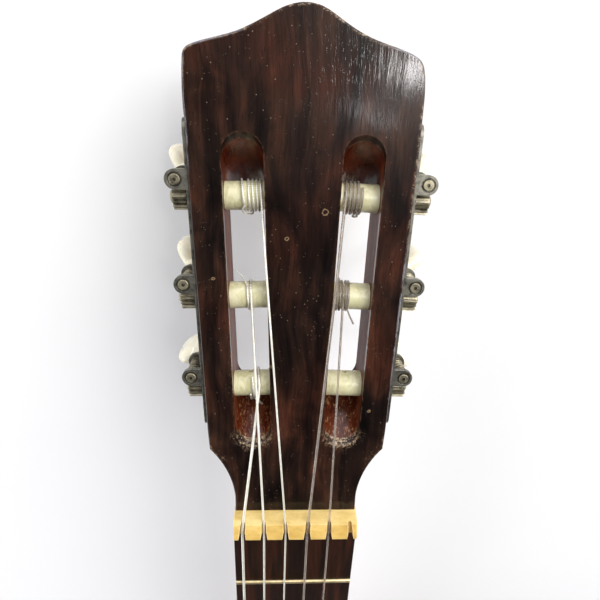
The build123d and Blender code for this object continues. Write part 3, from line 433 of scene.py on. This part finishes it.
def bone_material():
    """Bone gone yellow, with a little dirt and fine scratches; painted shade darkens its top faces and its
    hollows, and a painted highlight runs along its edges.
    """
    g = Graph("bone")
    cloud = g.noise(g.place(scale=(PER_MM / 9, PER_MM / 4, PER_MM / 4)), 1.0, 4, 0.6)
    colour = g.ramp(cloud, (
        (0.3, (0.56, 0.385, 0.12)), (0.55, (0.72, 0.535, 0.21)), (0.8, (0.82, 0.66, 0.33))))
    # Painted shade: darker brown in the hollows, by how enclosed the surface is.
    colour = g.paint(colour, g.mask(g.openness(1.5 * MM), 0.8, 0.35), 0.35, (0.42, 0.26, 0.08))
    # Painted shade: faces that point up are darker than the rest of the bone.
    shaded_top = g.mask(g.split(g.normal())["Z"], 0.75, 0.88)
    colour = g.mix(shaded_top, colour, g.tint(colour, (0.80, 0.72, 0.55)))
    # Painted highlight: paler along the edges.
    colour = g.paint(colour, g.edges(0.5 * MM, 0.98, 0.9), 0.6, (0.90, 0.76, 0.44))
    dirt = g.mask(g.noise(g.place(scale=(PER_MM,) * 3), 0.9, 5, 0.7), 0.60, 0.75)
    colour = g.paint(colour, dirt, 0.35, (0.35, 0.20, 0.07))
    scratch = g.noise(g.place(scale=(PER_MM / 7, PER_MM * 1.6, PER_MM), turn=(0, 0, 0.5)), 1.0, 3, 0.6)
    return g.finish(Base_Color=colour, Roughness=0.30, Normal=g.bump(scratch, 0.15, 0.0002),
                    Subsurface_Weight=0.15, Subsurface_Radius=(0.003, 0.002, 0.001), Subsurface_Scale=0.4)


WINDING_PITCH = 0.45


def wound_material():
    """Silver-plated wire wound round a string: fine rings across the guitar's length, with painted shade in
    the grooves between them.
    """
    g = Graph("wound_string")
    along = g.split(g.place(scale=(PER_MM,) * 3))["Y"]
    rings = g.math("SINE", g.math("MULTIPLY", along, 2 * math.pi / WINDING_PITCH))
    tone = g.noise(g.place(scale=(PER_MM / 3,) * 3), 1.0, 4, 0.6)
    colour = g.ramp(tone, ((0.3, (0.78, 0.75, 0.64)), (0.7, (0.96, 0.95, 0.88))))
    # Painted shade: darker in the grooves between the wraps.
    colour = g.mix(g.mask(rings, -0.5, -1.0), colour, (0.45, 0.41, 0.33))
    return g.finish(Base_Color=colour, Metallic=0.55, Roughness=0.36, Normal=g.bump(rings, 0.35, 0.00008))


def nylon_material():
    """Clear nylon gone a little tan."""
    g = Graph("nylon")
    tone = g.noise(g.place(scale=(PER_MM / 4,) * 3), 1.0, 3, 0.6)
    colour = g.ramp(tone, ((0.3, (0.50, 0.42, 0.36)), (0.7, (0.70, 0.64, 0.56))))
    return g.finish(Base_Color=colour, Roughness=0.18, Transmission_Weight=0.75, IOR=1.5,
                    Normal=g.bump(tone, 0.05, 0.0001))


def spruce_material():
    """Spruce under amber lacquer, with a faint silk across its grain."""
    tones = ((0.40, 0.19, 0.065), (0.52, 0.27, 0.10), (0.60, 0.33, 0.13), (0.66, 0.39, 0.17))
    g, colour, rough, normal = wood("spruce", tones, streak=40, stretch=6, lines=0.9, gloss=0.26, pores=0.08,
                                    line_depth=0.38)
    silk = g.noise(g.place(scale=(PER_MM / 3, PER_MM / 1.2, PER_MM / 3)), 1.0, 3, 0.6, 1.0)
    colour = g.mix(0.18, colour, g.ramp(silk, ((0.3, (0.45, 0.24, 0.10)), (0.7, (0.74, 0.47, 0.22)))))
    return g.finish(Base_Color=colour, Roughness=rough, Normal=normal, Coat_Weight=0.5, Coat_Roughness=0.12)


RING_PITCH, TILES_ROUND = 1.3, 110
MOSAIC_IN, MOSAIC_OUT = 49.2, 56.8


def rosette_material():
    """Rings of dark and pale veneer about a band of end-grain tiles."""
    g = Graph("rosette")
    flat = g.place(scale=(PER_MM,) * 3, shift=(0, -SOUND_HOLE_Y, 0))
    axes = g.split(flat)
    radius = g.math("SQRT", g.math("ADD", g.math("POWER", axes["X"], 2), g.math("POWER", axes["Y"], 2)))
    angle = g.math("MULTIPLY", g.math("ARCTAN2", axes["Y"], axes["X"]), TILES_ROUND)
    rings = g.math("SINE", g.math("MULTIPLY", radius, 2 * math.pi / RING_PITCH))
    colour = g.mix(g.mask(rings, -0.1, 0.1), (0.035, 0.018, 0.012), (0.50, 0.34, 0.17))
    slant = g.math("MULTIPLY", radius, 2.4)
    forward, backward = (g.math("SINE", g.math(way, angle, slant)) for way in ("ADD", "SUBTRACT"))
    tiles = g.both(forward, backward)
    mosaic = g.mix(g.mask(tiles, -0.1, 0.1), (0.30, 0.10, 0.04), (0.60, 0.45, 0.25))
    band = g.both(g.mask(radius, MOSAIC_IN, MOSAIC_IN + 0.1), g.mask(radius, MOSAIC_OUT, MOSAIC_OUT - 0.1))
    colour = g.mix(band, colour, mosaic)
    grain = g.noise(flat, 1.2, 4, 0.6)
    colour = g.paint(colour, grain, 0.35, (0.10, 0.05, 0.03))
    return g.finish(Base_Color=colour, Roughness=0.28, Coat_Weight=0.5, Coat_Roughness=0.12,
                    Normal=g.bump(grain, 0.05, 0.0001))


ROSEWOOD = ((0.030, 0.012, 0.008), (0.075, 0.028, 0.015), (0.13, 0.050, 0.024), (0.070, 0.026, 0.014),
            (0.19, 0.080, 0.038))
MAHOGANY = ((0.070, 0.013, 0.006), (0.125, 0.028, 0.012), (0.180, 0.048, 0.020), (0.24, 0.072, 0.030))
EBONY = ((0.006, 0.002, 0.001), (0.016, 0.005, 0.002), (0.042, 0.012, 0.005), (0.012, 0.004, 0.002))

MATERIALS = {
    "spruce": spruce_material(),
    "inside": plain_wood("inside_spruce", ((0.50, 0.34, 0.17), (0.62, 0.45, 0.25), (0.70, 0.53, 0.31)),
                         streak=30, lines=1.2, gloss=0.7, pores=0.05),
    "rosewood": plain_wood("rosewood", ROSEWOOD, streak=11, stretch=12, gloss=0.25, coat=0.6),
    "bridge": plain_wood("bridge_rosewood", ROSEWOOD[:3], turn=(0, 0, math.pi / 2), streak=6, gloss=0.4),
    "mahogany": plain_wood("mahogany", MAHOGANY, streak=7, stretch=16, gloss=0.27, coat=0.6),
    "head_core": head_core_material(),
    "ebony": plain_wood("ebony", EBONY, streak=5, stretch=14, lines=0.8, gloss=0.42, pores=0.6, shine=0.12),
    "binding": plain_wood("binding", EBONY[1:3] + ((0.05, 0.02, 0.012),), streak=4, gloss=0.25, coat=0.6),
    "veneer": veneer_material(),
    "rosette": rosette_material(),
    "bone": bone_material(),
    "nickel": nickel_material(),
    "gear": nickel_material("gear_metal", (0.36, 0.32, 0.22), (0.035, 0.03, 0.022)),
    "fret": nickel_material("fret_metal", (0.66, 0.53, 0.30), (0.42, 0.32, 0.17)),
    "roller": plastic_material("roller_plastic", (0.72, 0.68, 0.46), (0.52, 0.49, 0.27), (0.30, 0.20, 0.10),
                               rough=0.24, stain_from=0.62),
    "button": plastic_material("button_plastic", (0.86, 0.82, 0.68), (0.76, 0.70, 0.52), (0.60, 0.50, 0.30),
                               rough=0.2, glow=0.3, stain_from=0.66),
    "wound": wound_material(),
    "nylon": nylon_material(),
}

NODE_MATERIALS = {
    "soundboard": "spruce", "rosette": "rosette", "back_plate": "rosewood", "bass_side": "rosewood",
    "treble_side": "rosewood", "heel_cap": "rosewood", "linings": "inside", "fan_struts": "inside",
    "harmonic_bars": "inside", "soundhole_doubler": "inside", "back_braces": "inside", "back_strip": "inside",
    "bindings": "binding", "tail_block": "mahogany", "heel_block": "mahogany", "neck": "mahogany",
    "headstock": "head_core", "bridge": "bridge", "head_veneer": "veneer", "fretboard": "ebony",
    "saddle": "bone", "nut": "bone", "frets": "fret", "tuner_plate_bass": "nickel",
    "tuner_plate_treble": "nickel", "plate_screws": "nickel", "worm": "gear", "gear": "gear",
    "roller": "roller", "button": "button",
}

EDGE_SOFTENING = {"head_veneer": 0.7, "headstock": 0.5, "nut": 0.3, "bridge": 0.6, "fretboard": 0.4,
                  "tuner_plate_bass": 0.2, "tuner_plate_treble": 0.2, "bindings": 0.7, "saddle": 0.2}


def dress(piece, material):
    piece.data.materials.clear()
    piece.data.materials.append(MATERIALS[material])


WELD_REACH = 0.005 * MM
FLAT_ANGLE, SHARP_ANGLE, SMOOTH_ANGLE = math.radians(0.5), math.radians(32), math.radians(35)


def soften(piece, width):
    """Rounds a CAD node's sharp edges by a hair, so that they catch the light."""
    weld = piece.modifiers.new("weld", "WELD")
    weld.merge_threshold = WELD_REACH
    flats = piece.modifiers.new("one_face_per_flat", "DECIMATE")
    flats.decimate_type = "DISSOLVE"
    flats.angle_limit = FLAT_ANGLE
    bevel = piece.modifiers.new("soft_edges", "BEVEL")
    bevel.width = width * MM
    bevel.segments = 3
    bevel.limit_method = "ANGLE"
    bevel.angle_limit = SHARP_ANGLE
    weighted = piece.modifiers.new("flat_faces_first", "WEIGHTED_NORMAL")
    weighted.weight = 100


def smooth(piece):
    bpy.context.view_layer.objects.active = piece
    bpy.ops.object.select_all(action="DESELECT")
    piece.select_set(True)
    bpy.ops.object.shade_smooth_by_angle(angle=SMOOTH_ANGLE)


for node_name, node in NODES.items():
    family = node_name.rsplit("_", 1)[0] if node_name[-1].isdigit() else node_name
    if family in NODE_MATERIALS:
        dress(node, NODE_MATERIALS[family])
    smooth(node)
    if node_name in EDGE_SOFTENING:
        soften(node, EDGE_SOFTENING[node_name])


# ---------------------------------------------------------------- new pieces
def link(piece, body, material, replaced=()):
    bpy.context.scene.collection.objects.link(piece)
    dress(piece, material)
    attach(piece, body)
    if replaced:
        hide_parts(*replaced)
    return piece


def tube(name, lines, diameter, body, material, replaced=()):
    """A tight string or a wire: one tube along each line of points."""
    curve = bpy.data.curves.new(name, "CURVE")
    curve.dimensions = "3D"
    curve.bevel_depth = diameter / 2
    curve.bevel_resolution = 4
    curve.use_fill_caps = True
    for points in lines:
        spline = curve.splines.new("POLY")
        spline.points.add(len(points) - 1)
        for place, point in zip(spline.points, points):
            place.co = (*point, 1)
        spline.use_smooth = True
    return link(bpy.data.objects.new(name, curve), body, material, replaced)


def roller_axes(number):
    """A roller's own frame: where its axis leaves the head's side, and its x, y and z."""
    joint = JOINTS[f"roller_{number}_turn"]
    along = Vector(joint["axis"]).normalized()
    return Vector(joint["pos_m"]), along, HEAD_Z.cross(along), HEAD_Z


def on_roller(number, across, angle, radius):
    """A point round a roller, `across` metres from the head's middle, at an angle up from its y."""
    start, x, y, z = roller_axes(number)
    outward = SIDES[number] * across
    centre = start + x * ((outward - start.x) / x.x)
    return centre + (y * math.cos(angle) + z * math.sin(angle)) * radius


def string_meets(number, before):
    """The angle round its roller at which a string coming from `before` first touches it."""
    diameter, across = STRINGS[number][0] * MM, STRINGS[number][1] * MM
    centre = on_roller(number, across, 0, 0)
    _, _, y, z = roller_axes(number)
    way = before - centre
    back, up = way.dot(y), way.dot(z)
    return math.atan2(up, back) - math.acos((ROLLER_R + diameter / 2) / math.hypot(back, up))


def rounded(points, radius, steps=5):
    """The points with each inner corner turned into a short arc."""
    out = [points[0]]
    for before, corner, after in zip(points, points[1:], points[2:]):
        arrive, leave = (before - corner).normalized(), (after - corner).normalized()
        half = arrive.angle(leave) / 2
        reach = min(radius / math.tan(half), (before - corner).length / 2.2, (after - corner).length / 2.2)
        start, end = corner + arrive * reach, corner + leave * reach
        for step in range(steps + 1):
            share = step / steps
            out.append(start.lerp(corner, share).lerp(corner.lerp(end, share), share))
    out.append(points[-1])
    return out


SADDLE_LOW, SADDLE_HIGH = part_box("saddle")
SADDLE_MIDDLE_Y = (SADDLE_LOW.y + SADDLE_HIGH.y) / 2
BRIDGE_LOW, BRIDGE_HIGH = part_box("bridge")
TIE_HOLE_Z = 101.2 * MM
TIE_FRONT_Y = BRIDGE_LOW.y + 12 * MM
# How far a tied string stands past the tie block's front, behind it and over it.
TIE_REACH, TIE_BEHIND, TIE_OVER = 1.5 * MM, 0.25 * MM, 0.2 * MM
# Where a string bends over the saddle: how far behind its middle, and the gap over its top.
SADDLE_BEND_BACK, SADDLE_GAP = 0.85 * MM, 0.3 * MM
SLOT_EDGE_GAP = 0.12 * MM


def tied_at(number):
    """Where a string is tied: its radius, its place across the bridge and its height over the block."""
    radius = STRINGS[number][0] / 2 * MM
    return radius, (MIDDLE_STRING - number) * SADDLE_SPACING, BRIDGE_HIGH.z + radius + TIE_OVER


def string_route(number):
    """A string's points from its tie at the bridge to its roller, and the angle where it arrives."""
    _, across, _, rest = STRINGS[number]
    radius, saddle_x, top_z = tied_at(number)
    back_y = BRIDGE_LOW.y - radius - TIE_BEHIND
    nut_x = NUT_FIRST_X + (6 - number) * NUT_SPACING
    bend = Vector((nut_x, NUT_LOW.y + STRING_BEND_BACK, NUT_STRING_Z + radius))
    points = [
        Vector((saddle_x, TIE_FRONT_Y - TIE_REACH, top_z)),
        Vector((saddle_x, back_y, top_z)),
        Vector((saddle_x, back_y, TIE_HOLE_Z)),
        Vector((saddle_x, TIE_FRONT_Y + TIE_REACH, TIE_HOLE_Z)),
        Vector((saddle_x, SADDLE_MIDDLE_Y - SADDLE_BEND_BACK, SADDLE_HIGH.z + radius + SADDLE_GAP)),
        bend,
    ]
    before = bend
    if rest is not None:
        start = HEAD.inverted() @ bend
        end_y = (HEAD.inverted() @ on_roller(number, across * MM, 0, 0)).y
        share = (rest * MM - start.y) / (end_y - start.y)
        x = start.x + share * (SIDES[number] * across * MM - start.x)
        before = HEAD @ Vector((x, rest * MM, radius + SLOT_EDGE_GAP))
        points.append(before)
    angle = string_meets(number, before)
    wrap = [on_roller(number, across * MM, angle - math.radians(turn), ROLLER_R + radius)
            for turn in range(0, 16, 5)]
    return rounded(points + wrap[:1], 1.0 * MM) + wrap[1:], angle


# The loop at the tie: how many turns, in how many steps, where it starts and how far it sinks.
KNOT_TURNS, KNOT_STEPS = 1.5, 24
KNOT_BACK, KNOT_RISE, KNOT_SINK = 0.6 * MM, 0.4 * MM, 3.2 * MM


def tie_knot(number):
    """The loop that a string makes round itself in front of the tie block."""
    radius, x, top = tied_at(number)
    wide = 2.2 * radius
    points = []
    for step in range(KNOT_STEPS + 1):
        share = step / KNOT_STEPS
        turn = share * 2 * math.pi * KNOT_TURNS
        forward = 9 * radius * share * (1 - 0.5 * share)
        points.append(Vector((
            x + wide * math.sin(turn),
            TIE_FRONT_Y - TIE_REACH + forward - KNOT_BACK,
            top + KNOT_RISE + wide * 0.8 * math.cos(turn) - KNOT_SINK * share,
        )))
    return points


STEPS_PER_TURN = 40


def winding_points(number, start_angle):
    """The turns on a roller, from where the string arrives."""
    diameter, across, stages, _ = STRINGS[number]
    points, turned, place = [], 0.0, across
    for stage, (turns, end) in enumerate(stages):
        steps = round(turns * STEPS_PER_TURN)
        lift = diameter if len(stages) > 1 and stage == 1 else 0.0
        for step in range(steps + 1):
            share = step / steps
            angle = start_angle - 2 * math.pi * (turned + turns * share)
            raised = lift * math.sin(math.pi * share)
            points.append(on_roller(number, (place + (end - place) * share) * MM, angle,
                                    ROLLER_R + (diameter / 2 + raised) * MM))
        turned += turns
        place = end
    return points


def tail_points(number):
    """The string's free end, as a smooth curve through its stated places."""
    places = TAILS[number][1]
    stops = [on_roller(number, across * MM, math.radians(turn), ROLLER_R + lift * MM)
             for across, turn, lift in places]
    return rounded(stops, 1.2 * MM)


for number in STRINGS:
    diameter = STRINGS[number][0] * MM
    kind, slot = ("wound", "wound_string") if number in WOUND_STRINGS else ("nylon", "nylon")
    route, angle = string_route(number)
    tube(f"stretched_string_{number}", [route, tie_knot(number)], diameter, "guitar", kind,
         [f"string_{number}"])
    shaft = f"roller_shaft_{number}"
    tube(f"string_turns_{number}", [winding_points(number, angle)], diameter, shaft, kind,
         [f"winding_{number}"])
    tube(f"string_tail_{number}", [tail_points(number)], TAILS[number][0] * MM, shaft, kind)


# ---------------------------------------------------------------- tuner buttons
# A button's measures in millimetres, and its neck's, which starts at BUTTON_TOP down the worm's shaft.
BUTTON_W, BUTTON_L, BUTTON_T = 22.0, 20.0, 8.0
BUTTON_TOP, BUTTON_NECK_L, BUTTON_NECK_R = -8.64, 6.3, 3.0
NECK_SUNK = 2.0
BUTTON_VOXEL = 0.35 * MM


def button_mesh():
    """A flat oval button: thick in the middle, thinner at its rim, moulded onto a round neck."""
    shape = bmesh.new()
    rings, steps = 10, 48
    middle = BUTTON_TOP - BUTTON_NECK_L + 0.3 - BUTTON_L / 2

    def outline(turn, share):
        wide, long = math.cos(turn), math.sin(turn)
        return (math.copysign(abs(wide) ** 0.5, wide) * BUTTON_W / 2 * share,
                middle + math.copysign(abs(long) ** 0.5, long) * BUTTON_L / 2 * share)

    def level(share):
        return BUTTON_T / 2 * (0.45 * (1 - share**2) + 0.55) * (1 - share**12) ** 0.5

    def row(share, side):
        places = (outline(2 * math.pi * step / steps, share) for step in range(steps))
        return [shape.verts.new((x, side * level(share), z)) for x, z in places]

    rim = row(1, 0)
    for side in (-1, 1):
        centre = shape.verts.new((0, side * level(0), middle))
        rows = [row(math.sin(ring / rings * math.pi / 2), side) for ring in range(1, rings)] + [rim]
        for step in range(steps):
            after = (step + 1) % steps
            shape.faces.new((centre, rows[0][step], rows[0][after]))
            for inner, outer in zip(rows, rows[1:]):
                shape.faces.new((inner[step], outer[step], outer[after], inner[after]))
    neck_length = BUTTON_NECK_L + NECK_SUNK
    bmesh.ops.create_cone(shape, cap_ends=True, segments=40, radius1=BUTTON_NECK_R + 0.5,
                          radius2=BUTTON_NECK_R, depth=neck_length,
                          matrix=Matrix.Translation((0, 0, BUTTON_TOP - neck_length / 2)))
    bmesh.ops.recalc_face_normals(shape, faces=shape.faces)
    bmesh.ops.scale(shape, vec=(MM, MM, MM), verts=shape.verts)
    mesh = bpy.data.meshes.new("button")
    shape.to_mesh(mesh)
    shape.free()
    return mesh


def remeshed(mesh, voxel):
    """One smooth skin over a mesh of overlapping closed shapes."""
    carrier = bpy.data.objects.new("carrier", mesh)
    bpy.context.scene.collection.objects.link(carrier)
    remesh = carrier.modifiers.new("skin", "REMESH")
    remesh.mode = "VOXEL"
    remesh.voxel_size = voxel
    relax = carrier.modifiers.new("relax", "SMOOTH")
    relax.iterations = 6
    relax.factor = 0.5
    evaluated = carrier.evaluated_get(bpy.context.evaluated_depsgraph_get())
    skin = bpy.data.meshes.new_from_object(evaluated)
    bpy.data.objects.remove(carrier)
    skin.polygons.foreach_set("use_smooth", [True] * len(skin.polygons))
    return skin


button_skin = remeshed(button_mesh(), BUTTON_VOXEL)
for number, turn in BUTTON_TURN.items():
    joint = JOINTS[f"button_{number}_turn"]
    _, x, y, z = roller_axes(number)
    knob = bpy.data.objects.new(f"pearl_button_{number}", button_skin.copy())
    axes = Matrix((x, y, z)).transposed().to_4x4()
    turned = Matrix.Rotation(math.radians(turn), 4, "Z")
    knob.matrix_world = Matrix.Translation(joint["pos_m"]) @ axes @ turned
    link(knob, f"worm_shaft_{number}", "button", [f"button_{number}"])


# ---------------------------------------------------------------- floor, lights and camera
def floor_material():
    g = Graph("floor")
    cloud = g.noise(g.place(scale=(3, 3, 3)), 1.0, 3)
    colour = g.ramp(cloud, ((0.3, (0.80, 0.80, 0.81)), (0.7, (0.84, 0.84, 0.85))))
    return g.finish(Base_Color=colour, Roughness=0.8)


FLOOR_HALF, FLOOR_Z = 30.0, -0.2 * MM


def make_floor():
    mesh = bpy.data.meshes.new("floor")
    corners = ((-1, -1), (1, -1), (1, 1), (-1, 1))
    mesh.from_pydata([(x * FLOOR_HALF, y * FLOOR_HALF, FLOOR_Z) for x, y in corners], [], [(0, 1, 2, 3)])
    mesh.materials.append(floor_material())
    floor = bpy.data.objects.new("floor", mesh)
    bpy.context.scene.collection.objects.link(floor)


def area_light(name, place, target, size, power, colour):
    data = bpy.data.lights.new(name, "AREA")
    data.shape = "RECTANGLE"
    data.size, data.size_y = size
    data.energy = power
    data.color = colour
    lamp = bpy.data.objects.new(name, data)
    lamp.location = place
    lamp.rotation_euler = (Vector(target) - Vector(place)).to_track_quat("-Z", "Y").to_euler()
    bpy.context.scene.collection.objects.link(lamp)


def over_head(x, y, z):
    """A point given in metres in the head's frame."""
    return HEAD @ Vector((x, y, z))


make_floor()
HEAD_MIDDLE = over_head(0, 0.09, 0)
# Lamp: place, the point it shines at, size, power and colour. The two small ones stand where the
# lacquer mirrors them in the head's treble corner.
WHITE = (1, 1, 1)
LAMPS = {
    "key": (HEAD_MIDDLE + Vector((1.10, 1.05, 1.50)), HEAD_MIDDLE, (1.5, 1.5), 46, (1.0, 0.985, 0.96)),
    "low_fill": (HEAD_MIDDLE + Vector((-1.5, -0.9, 0.9)), HEAD_MIDDLE, (1.2, 1.2), 14, (0.96, 0.98, 1.0)),
    "corner_glint": (over_head(0.27, 0.27, 1.0), over_head(0.03, 0.16, 0), (0.06, 0.07), 0.75, WHITE),
    "band_glint": (over_head(0.17, 0.175, 1.0), over_head(0.02, 0.148, 0), (0.10, 0.012), 0.09, WHITE),
}
for lamp_name, lamp_values in LAMPS.items():
    area_light(lamp_name, *lamp_values)

# The room's brightness against how far a direction points towards its dark part.
DARK_WAY = (0, -0.38, 0.925)
ROOM_STRENGTH = 1.45
ROOM_STOPS = (
    (0.0, (1.5, 1.52, 1.58)), (0.20, (0.96, 0.97, 0.99)), (0.40, (0.92, 0.93, 0.94)),
    (0.56, (0.42, 0.42, 0.44)), (0.68, (0.035, 0.035, 0.037)),
)


def make_world():
    """A bright room, dark overhead and behind the body, where the head and fretboard would mirror it."""
    world = bpy.data.worlds.new("studio")
    world.use_nodes = True
    tree = world.node_tree
    tree.nodes.clear()
    direction = tree.nodes.new("ShaderNodeTexCoord")
    facing = tree.nodes.new("ShaderNodeVectorMath")
    facing.operation = "DOT_PRODUCT"
    facing.inputs[1].default_value = DARK_WAY
    tree.links.new(direction.outputs["Generated"], facing.inputs[0])
    ramp = tree.nodes.new("ShaderNodeValToRGB")
    for number, (place, colour) in enumerate(ROOM_STOPS):
        element = ramp.color_ramp.elements[number] if number < 2 else ramp.color_ramp.elements.new(place)
        element.position = place
        element.color = (*colour, 1)
    tree.links.new(facing.outputs["Value"], ramp.inputs["Fac"])
    background = tree.nodes.new("ShaderNodeBackground")
    background.inputs["Strength"].default_value = ROOM_STRENGTH
    tree.links.new(ramp.outputs["Color"], background.inputs["Color"])
    output = tree.nodes.new("ShaderNodeOutputWorld")
    tree.links.new(background.outputs[0], output.inputs["Surface"])
    bpy.context.scene.world = world


make_world()
bpy.context.scene.view_settings.view_transform = "Standard"

# The camera's place and turn in the head's frame: millimetres from the nut's rear edge, and a rotation
# vector away from looking straight at the face.
CAMERA_PLACE = (-5.7, 144.1, 167.8)
CAMERA_TURN = Vector((-0.3234, -0.0519, 0.0216))
camera_data = bpy.data.cameras.new("camera")
camera_data.sensor_width = 36
camera_data.lens = 31.0
camera_data.shift_x = -0.02
camera_data.clip_start = 0.01
camera = bpy.data.objects.new("camera", camera_data)
bpy.context.scene.collection.objects.link(camera)
camera.matrix_world = (
    HEAD @ Matrix.Translation(Vector(CAMERA_PLACE) * MM)
    @ Matrix.Rotation(CAMERA_TURN.length, 4, CAMERA_TURN.normalized())
)
bpy.context.scene.camera = camera
